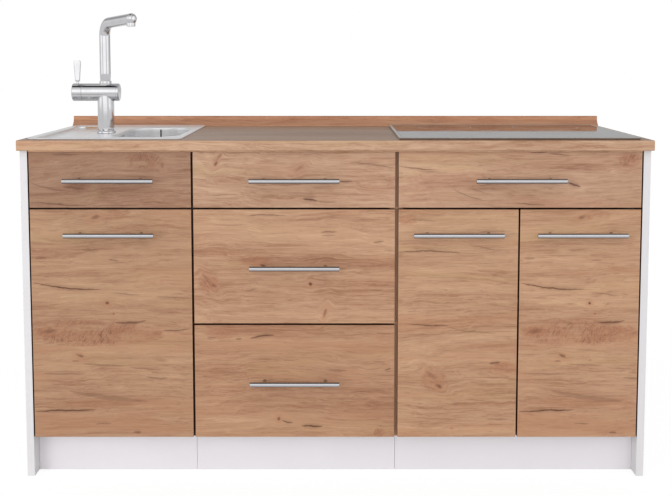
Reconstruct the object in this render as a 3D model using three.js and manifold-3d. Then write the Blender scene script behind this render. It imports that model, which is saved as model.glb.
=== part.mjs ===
// Kitchenette unit with sink and hob: three base cabinets between two end panels under one
// worktop. Millimetres, +Z up. The fronts face -Y and the wall is behind, at +Y. The origin is
// on the floor, in the middle of the footprint from the handles to the back of the worktop.
import * as THREE from "three";
import { mergeVertices } from "three/addons/utils/BufferGeometryUtils.js";
import Module from "manifold-3d";

const wasm = await Module();
wasm.setup();

// ---- Cabinets ----
const sinkCabinetWidth = 400;
const drawerCabinetWidth = 500;
const hobCabinetWidth = 600;
const cabinetHeight = 716; // from the floor board's underside to the worktop
const baseHeight = 100; // space for the plinth under the floor board
const boardThickness = 16;
const endPanelThickness = 18;
const backThickness = 3;
const backOverhang = 56; // the worktop reaches this far behind the cabinets
const railHeight = 100;

// ---- Plinth ----
const plinthRecess = 45; // behind the door fronts
const plinthClearance = 2; // under the cabinet floor

// ---- Fronts ----
const frontThickness = 16;
const frontGap = 3.5; // between one front and the next, up and down
const sideReveal = 1.6; // from a front to the edge of its cabinet
const topReveal = 4; // from the highest front to the worktop
const topFrontHeight = 137;
const bufferGap = 0.4; // between a front and the cabinet behind it

// ---- Worktop and wall strip ----
const worktopDepth = 600;
const worktopThickness = 25;
const worktopFrontOverhang = 16; // ahead of the door fronts
const worktopSideOverhang = 4; // outside the end panels
const worktopEdgeRadius = 3;
const worktopEdgeSteps = 3; // facets in the rounding
const stripHeight = 28;
const stripFootDepth = 25;
const stripTopDepth = 10;
const stripToeHeight = 4; // the upright foot under the slope
const stripBevel = 2;

// ---- Handles ----
const handleDiameter = 12;
const handleLength = 220;
const handlePostSpacing = 150;
const handlePostDiameter = 9;
const handleProjection = 35; // from the front to the outside of the bar
const doorHandleDrop = 61; // from the top of a door to the handle's axis

// ---- Drawers and their runners ----
const drawerWall = 12;
const drawerBottom = 6;
const topDrawerRise = 52; // how much lower than its front the top drawer's box is
const deepDrawerRise = 99; // the same for the two deep drawers
const drawerFloorOffset = 24; // from a front's lower edge to the box's underside
const drawerBackSpace = 40; // behind the boxes
const runnerThickness = 12.2;
const runnerHeight = 44;
const runnerGap = 0.3; // between a runner and the box that slides along it
const runnerOffset = 14; // from the box's underside to the runner's lower edge
const runnerWall = 2.2;
const runnerSetback = 1; // behind the cabinet's front edges

// ---- Hinges ----
const hingeOffset = 96; // from a door's end to the middle of its hinge
const hingePlateSize = { depth: 46, height: 48, thickness: 4 };
const hingeArmSize = { depth: 74, height: 17, thickness: 13 };
const hingePlateSetback = 22; // from the arm's front end to the plate

// ---- Sink ----
const sinkSideMargin = 14; // from the worktop's left end
const sinkInnerMargin = 28; // from the cabinet's right edge
const sinkFrontMargin = 35;
const sinkRearMargin = 15; // to the wall strip
const sinkCornerRadius = 18;
const sheetThickness = 2;
const bowlWall = 1.5;
const bowlDepth = 150;
const bowlSideClearance = 36; // from the cabinet's right side board to the bowl
const bowlFrontMargin = 57; // from the sink's front rim
const bowlRearMargin = 82;
const bowlCornerRadius = 75;
const bowlFootRadius = 18;
const drainerDepth = 8;
const drainerMargin = 16; // from the sink's left rim
const drainerFrontMargin = 26;
const drainerRearMargin = 30;
const drainerCornerRadius = 26;
const drainerWidth = 104;
const cutoutClearance = 3; // round the bowl and the drainer, in the worktop
const leastFlat = 2; // half the straight stretch that is left between two round corners
const leastUpright = 0.5; // what a rounded lower edge leaves of a tray's wall

// ---- Waste and strainer ----
const drainDiameter = 84;
const wasteCupDiameter = 96;
const wasteCupHeight = 36;
const wasteCupFloor = 4;
const tailDiameter = 40;
const tailLength = 52;
const trapDiameter = 72;
const trapHeight = 104;
const outletRise = 74; // from the trap's underside to the outlet's axis
const pipeBore = 32;
const basketClearance = 3; // all round, between the basket and the drain hole
const basketHeight = 22;
const basketWall = 1.6;
const basketKnobDiameter = 13;
const basketStemDiameter = 8;
const basketKnobRise = 14; // from the basket's underside to the knob
const basketSeatGap = 0.3;

// ---- Tap ----
const tapFrontDistance = 250; // from the worktop's front edge to the tap's axis
const tapBaseDiameter = 50;
const tapBaseHeight = 5;
const tapBridge = 8; // from the base to the bowl
const tapColumnDiameter = 43;
const tapBodyDiameter = 46;
const tapBodyRise = 107; // from the sink to the axis of the body that lies across
const tapBodyLeft = 60; // from the tap's axis to the cap
const tapBodyRight = 37;
const tapCapLength = 26;
const tapRunningGap = 0.3;
const tapCollarDiameter = 31;
const tapCollarHeight = 7;
const tapShankDiameter = 32;
const tapShankLength = 62;
const tapNutDiameter = 52;
const tapNutHeight = 8;
const tapHoleClearance = 1.5;
const spoutDiameter = 28;
const spoutRise = 288; // from the sink to the spout's axis, over the column
const spoutBendRadius = 34;
const spoutReach = 165; // from the tap's axis to the water
const spoutEnd = 13; // beyond the water
const spoutSlope = 2.5; // degrees, upwards to the end
const spoutTurn = -55; // degrees from +X, seen from above
const spoutSections = 36; // cross-sections along the spout
const aeratorDiameter = 22;
const aeratorHeight = 5;
const leverStemDiameter = 6;
const leverHeight = 60; // over the cap
const leverFootWidth = 12;
const leverTopWidth = 19;
const leverThickness = 7;
const leverTilt = 18; // degrees, to the left
const leverPivotRise = 3; // from the cap's axis to the lever's pivot
const leverFootRise = 0.4; // from the cap's axis to the stem's lower end
const leverBladeRise = 5; // from the cap's top to the blade
const leverSlotGap = 0.8;
const leverSlotDepth = 3; // below the cap's axis
const waterwayDiameter = 20;

// ---- Hob ----
const hobSideMargin = 5; // from the edges of its cabinet
const hobFrontMargin = 18;
const hobRearMargin = 37; // to the wall strip
const hobFrameHeight = 6;
const hobFrameWidth = 8;
const hobLedgeHeight = 1.5; // the sheet that the glass lies on
const hobGlassThickness = 4;
const hobGlassGap = 0.3;
const hobCornerRadius = 5;
const hobCasingHeight = 55; // below the glass
const hobCasingMargin = 20; // from the frame's outer edge to the casing
const hobCasingFrontMargin = 37; // the same at the front
const hobCasingWall = 2;
const hobVentSize = { width: 120, height: 18 }; // the cooling slot in the casing's back
const hobCutoutClearance = 4;

// ---- Shelf ----
const shelfSetback = 20; // behind the cabinet's front edges
const shelfGap = 0.3; // at each side board

// ---- Places worked out from the sizes above ----
const totalWidth = sinkCabinetWidth + drawerCabinetWidth + hobCabinetWidth;
const sinkLeft = -totalWidth / 2;
const drawerLeft = sinkLeft + sinkCabinetWidth;
const hobLeft = drawerLeft + drawerCabinetWidth;
const hobRight = hobLeft + hobCabinetWidth;
const worktopRight = totalWidth / 2 + endPanelThickness + worktopSideOverhang;

const footprintDepth = worktopDepth - worktopFrontOverhang + handleProjection;
const worktopBack = footprintDepth / 2;
const worktopFront = worktopBack - worktopDepth;
const frontFace = worktopFront + worktopFrontOverhang;
const frontBack = frontFace + frontThickness;
const cabinetFront = frontBack + bufferGap;
const cabinetBack = worktopBack - backOverhang;
const backPanelFront = cabinetBack - backThickness;
const stripFront = worktopBack - stripFootDepth;

const cabinetTop = baseHeight + cabinetHeight;
const worktopTop = cabinetTop + worktopThickness;
const floorTop = baseHeight + boardThickness;
const frontTop = cabinetTop - topReveal;
const topFrontBottom = frontTop - topFrontHeight;
const doorTop = topFrontBottom - frontGap;
const deepFrontHeight = (doorTop - baseHeight - frontGap) / 2;
const middleFrontBottom = baseHeight + deepFrontHeight + frontGap;

// ---- Materials ----
function finish(color, roughness, metalness = 0) {
  return () => new THREE.MeshStandardMaterial({ color, roughness, metalness });
}
const oak = finish(0xb78e70, 0.6);
const whiteBoard = finish(0xe3dfe2, 0.5);
const innerBoard = finish(0xe9e7e4, 0.6);
const hardboard = finish(0xd9d5cf, 0.7);
const brushedSteel = finish(0xb9b9b8, 0.35, 1);
const chrome = finish(0xd8d8da, 0.08, 1);
const zincSteel = finish(0xa9acae, 0.45, 1);
const blackGlass = finish(0x15120f, 0.06);
const greyPlastic = finish(0xb4b4b2, 0.5);

// ---- Shapes ----
// Puts each vertex of a prism exactly on the nearer of its two end planes, so that pieces which
// touch share one plane.
function onEnds(geometry, axis, [low, high]) {
  const { position } = geometry.attributes;
  for (let i = 0; i < position.count; i++) {
    const isLow = position.getComponent(i, axis) < (low + high) / 2;
    position.setComponent(i, axis, isLow ? low : high);
  }
  return geometry;
}

function box(x, y, z) {
  const middle = [x, y, z].map(([low, high]) => (low + high) / 2);
  const block = new THREE.BoxGeometry(x[1] - x[0], y[1] - y[0], z[1] - z[0]);
  block.translate(...middle);
  return [x, y, z].reduce((made, range, axis) => onEnds(made, axis, range), block);
}

// A rectangle with round corners, as an outline in X and Y. Each corner is an arc of some steps.
function roundedOutline(x, y, radius, steps = 6) {
  const narrowest = Math.min(x[1] - x[0], y[1] - y[0]);
  const r = Math.min(radius, narrowest / 2 - leastFlat);
  const arcs = [
    [x[1] - r, y[0] + r, 3],
    [x[1] - r, y[1] - r, 0],
    [x[0] + r, y[1] - r, 1],
    [x[0] + r, y[0] + r, 2],
  ];
  const points = arcs.flatMap(([centreX, centreY, quarter]) =>
    Array.from({ length: steps + 1 }, (_, i) => {
      const angle = ((quarter + i / steps) * Math.PI) / 2;
      return new THREE.Vector2(centreX + r * Math.cos(angle), centreY + r * Math.sin(angle));
    }),
  );
  return new THREE.Shape(points);
}

function plate(outline, z) {
  const options = { depth: z[1] - z[0], bevelEnabled: false };
  return onEnds(new THREE.ExtrudeGeometry(outline, options).translate(0, 0, z[0]), 2, z);
}

// A tray's inside or outside: an upright rounded block whose lower edge is rounded too.
function trough(x, y, radius, z, footRadius) {
  const wall = Math.min(x[1] - x[0], y[1] - y[0]) / 2;
  const highest = z[1] - z[0] - leastUpright;
  const foot = Math.min(footRadius, highest, Math.min(radius, wall - leastFlat) - leastFlat / 2);
  const options = {
    depth: z[1] - z[0] - foot,
    bevelThickness: foot,
    bevelSize: foot,
    bevelOffset: -foot,
    bevelSegments: 3,
  };
  const rounded = new THREE.ExtrudeGeometry(roundedOutline(x, y, radius, 8), options);
  rounded.translate(0, 0, z[0] + foot);
  const above = box([x[0] - 1, x[1] + 1], [y[0] - 1, y[1] + 1], [z[1], z[1] + foot + 1]);
  return cut(rounded, above);
}

// A profile in Y and Z, carried from one X to another.
function alongX(points, x) {
  const outline = new THREE.Shape(points.map(([y, z]) => new THREE.Vector2(y, z)));
  const options = { depth: x[1] - x[0], bevelEnabled: false };
  const turned = new THREE.Matrix4().makeBasis(
    new THREE.Vector3(0, 1, 0),
    new THREE.Vector3(0, 0, 1),
    new THREE.Vector3(1, 0, 0),
  );
  const prism = new THREE.ExtrudeGeometry(outline, options);
  return onEnds(prism.applyMatrix4(turned).translate(x[0], 0, 0), 0, x);
}

function upright(diameter, z, x = 0, y = 0, segments = 32) {
  const rod = new THREE.CylinderGeometry(diameter / 2, diameter / 2, z[1] - z[0], segments);
  return onEnds(rod.rotateX(Math.PI / 2).translate(x, y, (z[0] + z[1]) / 2), 2, z);
}

function lyingAlongX(diameter, x, y, z, segments = 32) {
  const rod = new THREE.CylinderGeometry(diameter / 2, diameter / 2, x[1] - x[0], segments);
  return onEnds(rod.rotateZ(Math.PI / 2).translate((x[0] + x[1]) / 2, y, z), 0, x);
}

function lyingAlongY(diameter, y, x, z, segments = 32) {
  const rod = new THREE.CylinderGeometry(diameter / 2, diameter / 2, y[1] - y[0], segments);
  return onEnds(rod.translate(x, (y[0] + y[1]) / 2, z), 1, y);
}

function solid(geometry) {
  const bare = geometry.clone();
  bare.deleteAttribute("normal");
  bare.deleteAttribute("uv");
  const merged = mergeVertices(bare, 1e-3);
  const vertProperties = new Float32Array(merged.attributes.position.array);
  const triVerts = new Uint32Array(merged.index.array);
  return new wasm.Manifold(new wasm.Mesh({ numProp: 3, vertProperties, triVerts }));
}

function geometryOf(manifold) {
  const mesh = manifold.getMesh();
  const geometry = new THREE.BufferGeometry();
  const position = new THREE.BufferAttribute(new Float32Array(mesh.vertProperties), 3);
  geometry.setAttribute("position", position);
  geometry.setIndex(new THREE.BufferAttribute(new Uint32Array(mesh.triVerts), 1));
  return geometry;
}

function join(...geometries) {
  return geometryOf(geometries.map(solid).reduce((sum, next) => sum.add(next)));
}

function cut(geometry, ...tools) {
  return geometryOf(tools.map(solid).reduce((rest, tool) => rest.subtract(tool), solid(geometry)));
}

const unit = new THREE.Group();

function piece(name, geometry, material, parent = unit) {
  const mesh = new THREE.Mesh(geometry, material());
  mesh.name = name;
  if (!geometry.attributes.normal) geometry.computeVertexNormals();
  parent.add(mesh);
  return mesh;
}

// ---- Cabinet boards ----
function sideBoard(name, x) {
  const board = box(x, [cabinetFront, backPanelFront], [0, cabinetTop]);
  const notchBack = frontFace + plinthRecess + boardThickness;
  const toeSpace = box(
    [x[0] - 1, x[1] + 1],
    [cabinetFront - 1, notchBack],
    [-1, baseHeight - plinthClearance],
  );
  piece(name, cut(board, toeSpace), innerBoard);
}

function cabinet(label, left, width, hasBack) {
  const inner = [left + boardThickness, left + width - boardThickness];
  sideBoard(`${label}_cabinet_left_side`, [left, inner[0]]);
  sideBoard(`${label}_cabinet_right_side`, [inner[1], left + width]);
  const floor = box(inner, [cabinetFront, backPanelFront], [baseHeight, floorTop]);
  piece(`${label}_cabinet_floor`, floor, innerBoard);
  if (hasBack) {
    const back = box([left, left + width], [backPanelFront, cabinetBack], [baseHeight, cabinetTop]);
    piece(`${label}_cabinet_back`, back, hardboard);
  }
  const plinthY = [frontFace + plinthRecess, frontFace + plinthRecess + boardThickness];
  const plinth = box([left, left + width], plinthY, [0, baseHeight - plinthClearance]);
  piece(`${label}_plinth`, plinth, whiteBoard);
}

cabinet("sink", sinkLeft, sinkCabinetWidth, false);
cabinet("drawer", drawerLeft, drawerCabinetWidth, true);
cabinet("hob", hobLeft, hobCabinetWidth, true);

const railX = [sinkLeft + boardThickness, drawerLeft - boardThickness];
const railY = [backPanelFront - boardThickness, backPanelFront];
piece("sink_cabinet_rail", box(railX, railY, [cabinetTop - railHeight, cabinetTop]), innerBoard);

const shelfX = [hobLeft + boardThickness + shelfGap, hobRight - boardThickness - shelfGap];
const shelfZ = (floorTop + cabinetTop - hobCasingHeight) / 2;
const shelf = box(
  shelfX,
  [cabinetFront + shelfSetback, backPanelFront],
  [shelfZ - boardThickness / 2, shelfZ + boardThickness / 2],
);
piece("hob_cabinet_shelf", shelf, innerBoard);

function endPanel(name, x) {
  piece(name, box(x, [frontFace, cabinetBack], [0, cabinetTop]), whiteBoard);
}
endPanel("end_panel_left", [sinkLeft - endPanelThickness, sinkLeft]);
endPanel("end_panel_right", [hobRight, hobRight + endPanelThickness]);

// ---- Fronts and handles ----
function front(name, x, z) {
  const panel = box([x[0] + sideReveal, x[1] - sideReveal], [frontFace, frontBack], z);
  piece(name, panel, oak);
}

function handle(name, x, z) {
  const barY = frontFace - handleProjection + handleDiameter / 2;
  const bar = [x - handleLength / 2, x + handleLength / 2];
  const posts = [-1, 1].map((side) =>
    lyingAlongY(handlePostDiameter, [barY, frontFace], x + (side * handlePostSpacing) / 2, z, 16),
  );
  piece(name, join(lyingAlongX(handleDiameter, bar, barY, z, 24), ...posts), brushedSteel);
}

const hobMiddle = (hobLeft + hobRight) / 2;
const sinkMiddle = (sinkLeft + drawerLeft) / 2;
const drawerMiddle = (drawerLeft + hobLeft) / 2;
const topHandleZ = topFrontBottom + topFrontHeight / 2;

front("sink_blind_front", [sinkLeft, drawerLeft], [topFrontBottom, frontTop]);
handle("sink_blind_front_handle", sinkMiddle, topHandleZ);
front("hob_blind_front", [hobLeft, hobRight], [topFrontBottom, frontTop]);
handle("hob_blind_front_handle", hobMiddle, topHandleZ);

// A hinge arm on a side board: its plate lies on the board, and its arm reaches the door.
function hingeArm(name, boardX, inward, z) {
  const across = (from, to) => [boardX + inward * from, boardX + inward * to].sort((a, b) => a - b);
  const { depth, height, thickness } = hingePlateSize;
  const armFront = frontBack + bufferGap;
  const plateFront = armFront + hingePlateSetback;
  const plateSolid = box(
    across(0, thickness),
    [plateFront, plateFront + depth],
    [z - height / 2, z + height / 2],
  );
  const arm = box(
    across(0, hingeArmSize.thickness),
    [armFront, armFront + hingeArmSize.depth],
    [z - hingeArmSize.height / 2, z + hingeArmSize.height / 2],
  );
  piece(name, join(plateSolid, arm), zincSteel);
}

function door(name, x, boardX, inward) {
  front(name, x, [baseHeight, doorTop]);
  handle(`${name}_handle`, (x[0] + x[1]) / 2, doorTop - doorHandleDrop);
  hingeArm(`${name}_hinge_lower`, boardX, inward, baseHeight + hingeOffset);
  hingeArm(`${name}_hinge_upper`, boardX, inward, doorTop - hingeOffset);
}

door("sink_door", [sinkLeft, drawerLeft], sinkLeft + boardThickness, 1);
door("hob_left_door", [hobLeft, hobMiddle], hobLeft + boardThickness, 1);
door("hob_right_door", [hobMiddle, hobRight], hobRight - boardThickness, -1);

// ---- Drawers ----
const drawerInner = [drawerLeft + boardThickness, hobLeft - boardThickness];
const drawerBoxX = [
  drawerInner[0] + runnerThickness + runnerGap,
  drawerInner[1] - runnerThickness - runnerGap,
];
const drawerBoxY = [frontBack, backPanelFront - drawerBackSpace];

// A runner is a channel that opens towards the drawer.
function runner(name, boardX, inward, z) {
  const across = (from, to) => [boardX + inward * from, boardX + inward * to].sort((a, b) => a - b);
  const y = [cabinetFront + runnerSetback, drawerBoxY[1]];
  const block = box(across(0, runnerThickness), y, [z, z + runnerHeight]);
  const groove = box(
    across(runnerWall, runnerThickness + 1),
    [y[0] - 1, y[1] + 1],
    [z + runnerWall, z + runnerHeight - runnerWall],
  );
  piece(name, cut(block, groove), zincSteel);
}

function drawer(label, z, rise) {
  front(`${label}_drawer_front`, [drawerLeft, hobLeft], z);
  handle(`${label}_drawer_handle`, drawerMiddle, (z[0] + z[1]) / 2);
  const boxZ = [z[0] + drawerFloorOffset, z[1] - rise + drawerFloorOffset];
  const inside = box(
    [drawerBoxX[0] + drawerWall, drawerBoxX[1] - drawerWall],
    [drawerBoxY[0] + drawerWall, drawerBoxY[1] - drawerWall],
    [boxZ[0] + drawerBottom, boxZ[1] + 1],
  );
  piece(`${label}_drawer_box`, cut(box(drawerBoxX, drawerBoxY, boxZ), inside), innerBoard);
  runner(`${label}_runner_left`, drawerInner[0], 1, boxZ[0] + runnerOffset);
  runner(`${label}_runner_right`, drawerInner[1], -1, boxZ[0] + runnerOffset);
}

drawer("top", [topFrontBottom, frontTop], topDrawerRise);
drawer("middle", [middleFrontBottom, doorTop], deepDrawerRise);
drawer("lower", [baseHeight, baseHeight + deepFrontHeight], deepDrawerRise);

// ---- Sink ----
const sinkX = [-worktopRight + sinkSideMargin, drawerLeft - sinkInnerMargin];
const sinkY = [worktopFront + sinkFrontMargin, stripFront - sinkRearMargin];
const sinkTop = worktopTop + sheetThickness;
const drainerX = [sinkX[0] + drainerMargin, sinkX[0] + drainerMargin + drainerWidth];
const drainerY = [sinkY[0] + drainerFrontMargin, sinkY[1] - drainerRearMargin];
const tapX = drainerX[1] + tapBridge + tapBaseDiameter / 2;
const tapY = worktopFront + tapFrontDistance;
const bowlX = [
  tapX + tapBaseDiameter / 2 + tapBridge,
  drawerLeft - boardThickness - bowlSideClearance,
];
const bowlY = [sinkY[0] + bowlFrontMargin, sinkY[1] - bowlRearMargin];
const bowlBottom = sinkTop - bowlDepth;
const drainX = (bowlX[0] + bowlX[1]) / 2;
const drainY = (bowlY[0] + bowlY[1]) / 2;

function widened(range, by) {
  return [range[0] - by, range[1] + by];
}

function sinkBasin() {
  const sheet = plate(roundedOutline(sinkX, sinkY, sinkCornerRadius), [worktopTop, sinkTop]);
  const bowlOutside = trough(
    widened(bowlX, bowlWall),
    widened(bowlY, bowlWall),
    bowlCornerRadius + bowlWall,
    [bowlBottom - bowlWall, sinkTop],
    bowlFootRadius + bowlWall,
  );
  const drainerFloor = sinkTop - drainerDepth;
  const drainerOutside = trough(
    widened(drainerX, bowlWall),
    widened(drainerY, bowlWall),
    drainerCornerRadius + bowlWall,
    [drainerFloor - bowlWall, sinkTop],
    drainerDepth / 2,
  );
  const above = sinkTop + 1;
  const bowlInside = trough(bowlX, bowlY, bowlCornerRadius, [bowlBottom, above], bowlFootRadius);
  const drainerInside = trough(
    drainerX,
    drainerY,
    drainerCornerRadius,
    [drainerFloor, above],
    drainerDepth / 2,
  );
  const drain = upright(drainDiameter, [bowlBottom - 2 * bowlWall, bowlBottom + 1], drainX, drainY);
  const tapHole = upright(
    tapShankDiameter + 2 * tapHoleClearance,
    [worktopTop - 1, above],
    tapX,
    tapY,
  );
  const outside = join(sheet, bowlOutside, drainerOutside);
  return cut(outside, bowlInside, drainerInside, drain, tapHole);
}
piece("sink_basin", sinkBasin(), brushedSteel);

// ---- Waste under the bowl, with its bottle trap, and the strainer basket ----
const wasteTop = bowlBottom - bowlWall;
const cupFloor = wasteTop - wasteCupHeight + wasteCupFloor;

function sinkWaste() {
  const cupBottom = wasteTop - wasteCupHeight;
  const trapTop = cupBottom - tailLength;
  const trapBottom = trapTop - trapHeight;
  const outletZ = trapBottom + outletRise;
  const outside = join(
    upright(wasteCupDiameter, [cupBottom, wasteTop], drainX, drainY),
    upright(tailDiameter, [trapTop - 1, cupBottom + 1], drainX, drainY, 24),
    upright(trapDiameter, [trapBottom, trapTop], drainX, drainY, 28),
    lyingAlongY(tailDiameter, [drainY, cabinetBack], drainX, outletZ, 24),
  );
  return cut(
    outside,
    upright(drainDiameter, [cupFloor, wasteTop + 1], drainX, drainY),
    upright(pipeBore, [outletZ, cupFloor + 1], drainX, drainY, 20),
    lyingAlongY(pipeBore, [drainY, cabinetBack + 1], drainX, outletZ, 20),
  );
}
piece("sink_waste", sinkWaste(), greyPlastic);

// The basket is a turned cup with a knob in the middle.
function strainerBasket() {
  const radius = drainDiameter / 2 - basketClearance;
  const knob = basketKnobDiameter / 2;
  const stem = basketStemDiameter / 2;
  const chamfer = basketHeight / 3;
  const profile = [
    [0, 0],
    [radius - chamfer, 0],
    [radius, chamfer],
    [radius, basketHeight],
    [radius - basketWall, basketHeight],
    [radius - basketWall, chamfer + basketWall / 2],
    [radius - chamfer - basketWall / 2, basketWall],
    [stem, basketWall],
    [stem, basketKnobRise],
    [knob, basketKnobRise + knob - stem],
    [knob, basketHeight],
    [0, basketHeight],
  ].map(([r, z]) => new THREE.Vector2(r, z));
  return new THREE.LatheGeometry(profile, 28)
    .rotateX(Math.PI / 2)
    .translate(drainX, drainY, cupFloor + basketSeatGap);
}
piece("strainer_basket", strainerBasket(), brushedSteel);

// ---- Tap ----
const tapBodyZ = sinkTop + tapBodyRise;
const capX = [
  tapX - tapBodyLeft - tapRunningGap - tapCapLength,
  tapX - tapBodyLeft - tapRunningGap,
];
const leverX = (capX[0] + capX[1]) / 2;
const collarTop = tapBodyZ + tapBodyDiameter / 2 + tapCollarHeight;

function tapBody() {
  const shankBottom = sinkTop - tapShankLength;
  const outside = join(
    upright(tapBaseDiameter, [sinkTop, sinkTop + tapBaseHeight], tapX, tapY, 36),
    upright(tapColumnDiameter, [sinkTop + 1, tapBodyZ], tapX, tapY, 36),
    lyingAlongX(tapBodyDiameter, [tapX - tapBodyLeft, tapX + tapBodyRight], tapY, tapBodyZ, 36),
    upright(tapCollarDiameter, [tapBodyZ, collarTop], tapX, tapY, 32),
    upright(tapShankDiameter, [shankBottom, sinkTop + 1], tapX, tapY, 24),
    upright(tapNutDiameter, [worktopTop - tapNutHeight, worktopTop], tapX, tapY, 6),
  );
  return cut(outside, upright(waterwayDiameter, [shankBottom - 1, collarTop + 1], tapX, tapY, 20));
}
piece("tap_body", tapBody(), chrome);

function tapCap() {
  const tilt = THREE.MathUtils.degToRad(leverTilt);
  const stemReach = Math.tan(tilt) * (tapBodyDiameter / 2 - leverPivotRise);
  const slotLeft = leverStemDiameter / 2 / Math.cos(tilt) + leverSlotGap + stemReach;
  const slotHalf = leverStemDiameter / 2 + leverSlotGap;
  const slot = box(
    [leverX - slotLeft, leverX + slotHalf],
    [tapY - slotHalf, tapY + slotHalf],
    [tapBodyZ - leverSlotDepth, tapBodyZ + tapBodyDiameter],
  );
  return cut(lyingAlongX(tapBodyDiameter, capX, tapY, tapBodyZ, 36), slot);
}
piece("tap_cap", tapCap(), chrome);

// The lever is a round stem with a blade that widens upwards.
function tapLever() {
  const capTop = tapBodyZ + tapBodyDiameter / 2;
  const bladeBottom = capTop + leverBladeRise;
  const bladeTop = capTop + leverHeight;
  const chamfer = leverTopWidth / 6;
  const stem = upright(
    leverStemDiameter,
    [tapBodyZ + leverFootRise, bladeBottom + chamfer],
    leverX,
    tapY,
    16,
  );
  const blade = new THREE.Shape()
    .moveTo(-leverFootWidth / 2, bladeBottom)
    .lineTo(leverFootWidth / 2, bladeBottom)
    .lineTo(leverTopWidth / 2, bladeTop - 2 * chamfer)
    .lineTo(leverTopWidth / 2 - chamfer, bladeTop)
    .lineTo(-leverTopWidth / 2 + chamfer, bladeTop)
    .lineTo(-leverTopWidth / 2, bladeTop - 2 * chamfer);
  const options = { depth: leverThickness, bevelEnabled: false };
  const bladeSolid = new THREE.ExtrudeGeometry(blade, options)
    .rotateX(Math.PI / 2)
    .translate(leverX, tapY + leverThickness / 2, 0);
  return join(stem, bladeSolid);
}
piece("tap_lever", tapLever(), chrome);

// The spout rises, bends over and runs out to the aerator, which hangs under its end.
function tapSpout() {
  const slope = THREE.MathUtils.degToRad(spoutSlope);
  const bendAngle = Math.PI / 2 - slope;
  const foot = new THREE.Vector3(0, 0, collarTop + tapRunningGap);
  const bendStart = new THREE.Vector3(0, 0, sinkTop + spoutRise - spoutBendRadius);
  const bendEnd = new THREE.Vector3(
    spoutBendRadius * (1 - Math.cos(bendAngle)),
    0,
    bendStart.z + spoutBendRadius * Math.sin(bendAngle),
  );
  const outwards = new THREE.Vector3(Math.cos(slope), 0, Math.sin(slope));
  const pull = (4 / 3) * Math.tan(bendAngle / 4) * spoutBendRadius; // a quarter turn as a cubic
  const tip = bendEnd
    .clone()
    .addScaledVector(outwards, (spoutReach + spoutEnd - bendEnd.x) / outwards.x);
  const route = new THREE.CurvePath();
  route.add(new THREE.LineCurve3(foot, bendStart));
  route.add(
    new THREE.CubicBezierCurve3(
      bendStart,
      bendStart.clone().add(new THREE.Vector3(0, 0, pull)),
      bendEnd.clone().addScaledVector(outwards, -pull),
      bendEnd,
    ),
  );
  route.add(new THREE.LineCurve3(bendEnd, tip));
  const section = new THREE.Shape().absarc(0, 0, spoutDiameter / 2, 0, 2 * Math.PI);
  const tube = new THREE.ExtrudeGeometry(section, {
    steps: spoutSections,
    extrudePath: route,
    curveSegments: 10,
    bevelEnabled: false,
  });
  const waterZ = bendEnd.z + (spoutReach - bendEnd.x) * Math.tan(slope);
  const aeratorZ = [waterZ - spoutDiameter / 2 - aeratorHeight, waterZ];
  const aerator = upright(aeratorDiameter, aeratorZ, spoutReach, 0, 24);
  const waterway = upright(waterwayDiameter, [foot.z - 1, bendStart.z], 0, 0, 20);
  return cut(join(tube, aerator), waterway)
    .rotateZ(THREE.MathUtils.degToRad(spoutTurn))
    .translate(tapX, tapY, 0);
}
piece("tap_spout", tapSpout(), chrome);

// ---- Hob: a sheet-steel casing whose rim frames the glass, and the glass that lies in it ----
const hobX = [hobLeft + hobSideMargin, hobRight - hobSideMargin];
const hobY = [worktopFront + hobFrontMargin, stripFront - hobRearMargin];
const glassX = widened(hobX, -hobFrameWidth - hobGlassGap);
const glassY = widened(hobY, -hobFrameWidth - hobGlassGap);
const glassBottom = worktopTop + hobLedgeHeight;
const casingX = widened(hobX, -hobCasingMargin);
const casingY = [hobY[0] + hobCasingFrontMargin, hobY[1] - hobCasingMargin];

function hobCasing() {
  const frameTop = worktopTop + hobFrameHeight;
  const rim = plate(roundedOutline(hobX, hobY, hobCornerRadius), [worktopTop, frameTop]);
  const recess = box(
    widened(hobX, -hobFrameWidth),
    widened(hobY, -hobFrameWidth),
    [glassBottom, frameTop + 1],
  );
  const trayBottom = glassBottom - hobCasingHeight;
  const tray = box(casingX, casingY, [trayBottom, glassBottom - hobLedgeHeight / 2]);
  const hollow = box(
    widened(casingX, -hobCasingWall),
    widened(casingY, -hobCasingWall),
    [trayBottom + hobCasingWall, worktopTop],
  );
  const ventX = (casingX[0] + casingX[1]) / 2;
  const ventZ = (trayBottom + worktopTop) / 2;
  const vent = box(
    [ventX - hobVentSize.width / 2, ventX + hobVentSize.width / 2],
    [casingY[1] - 2 * hobCasingWall, casingY[1] + 1],
    [ventZ - hobVentSize.height / 2, ventZ + hobVentSize.height / 2],
  );
  return cut(join(cut(rim, recess), tray), hollow, vent);
}
piece("hob_casing", hobCasing(), brushedSteel);
piece("hob_glass", box(glassX, glassY, [glassBottom, glassBottom + hobGlassThickness]), blackGlass);

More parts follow.
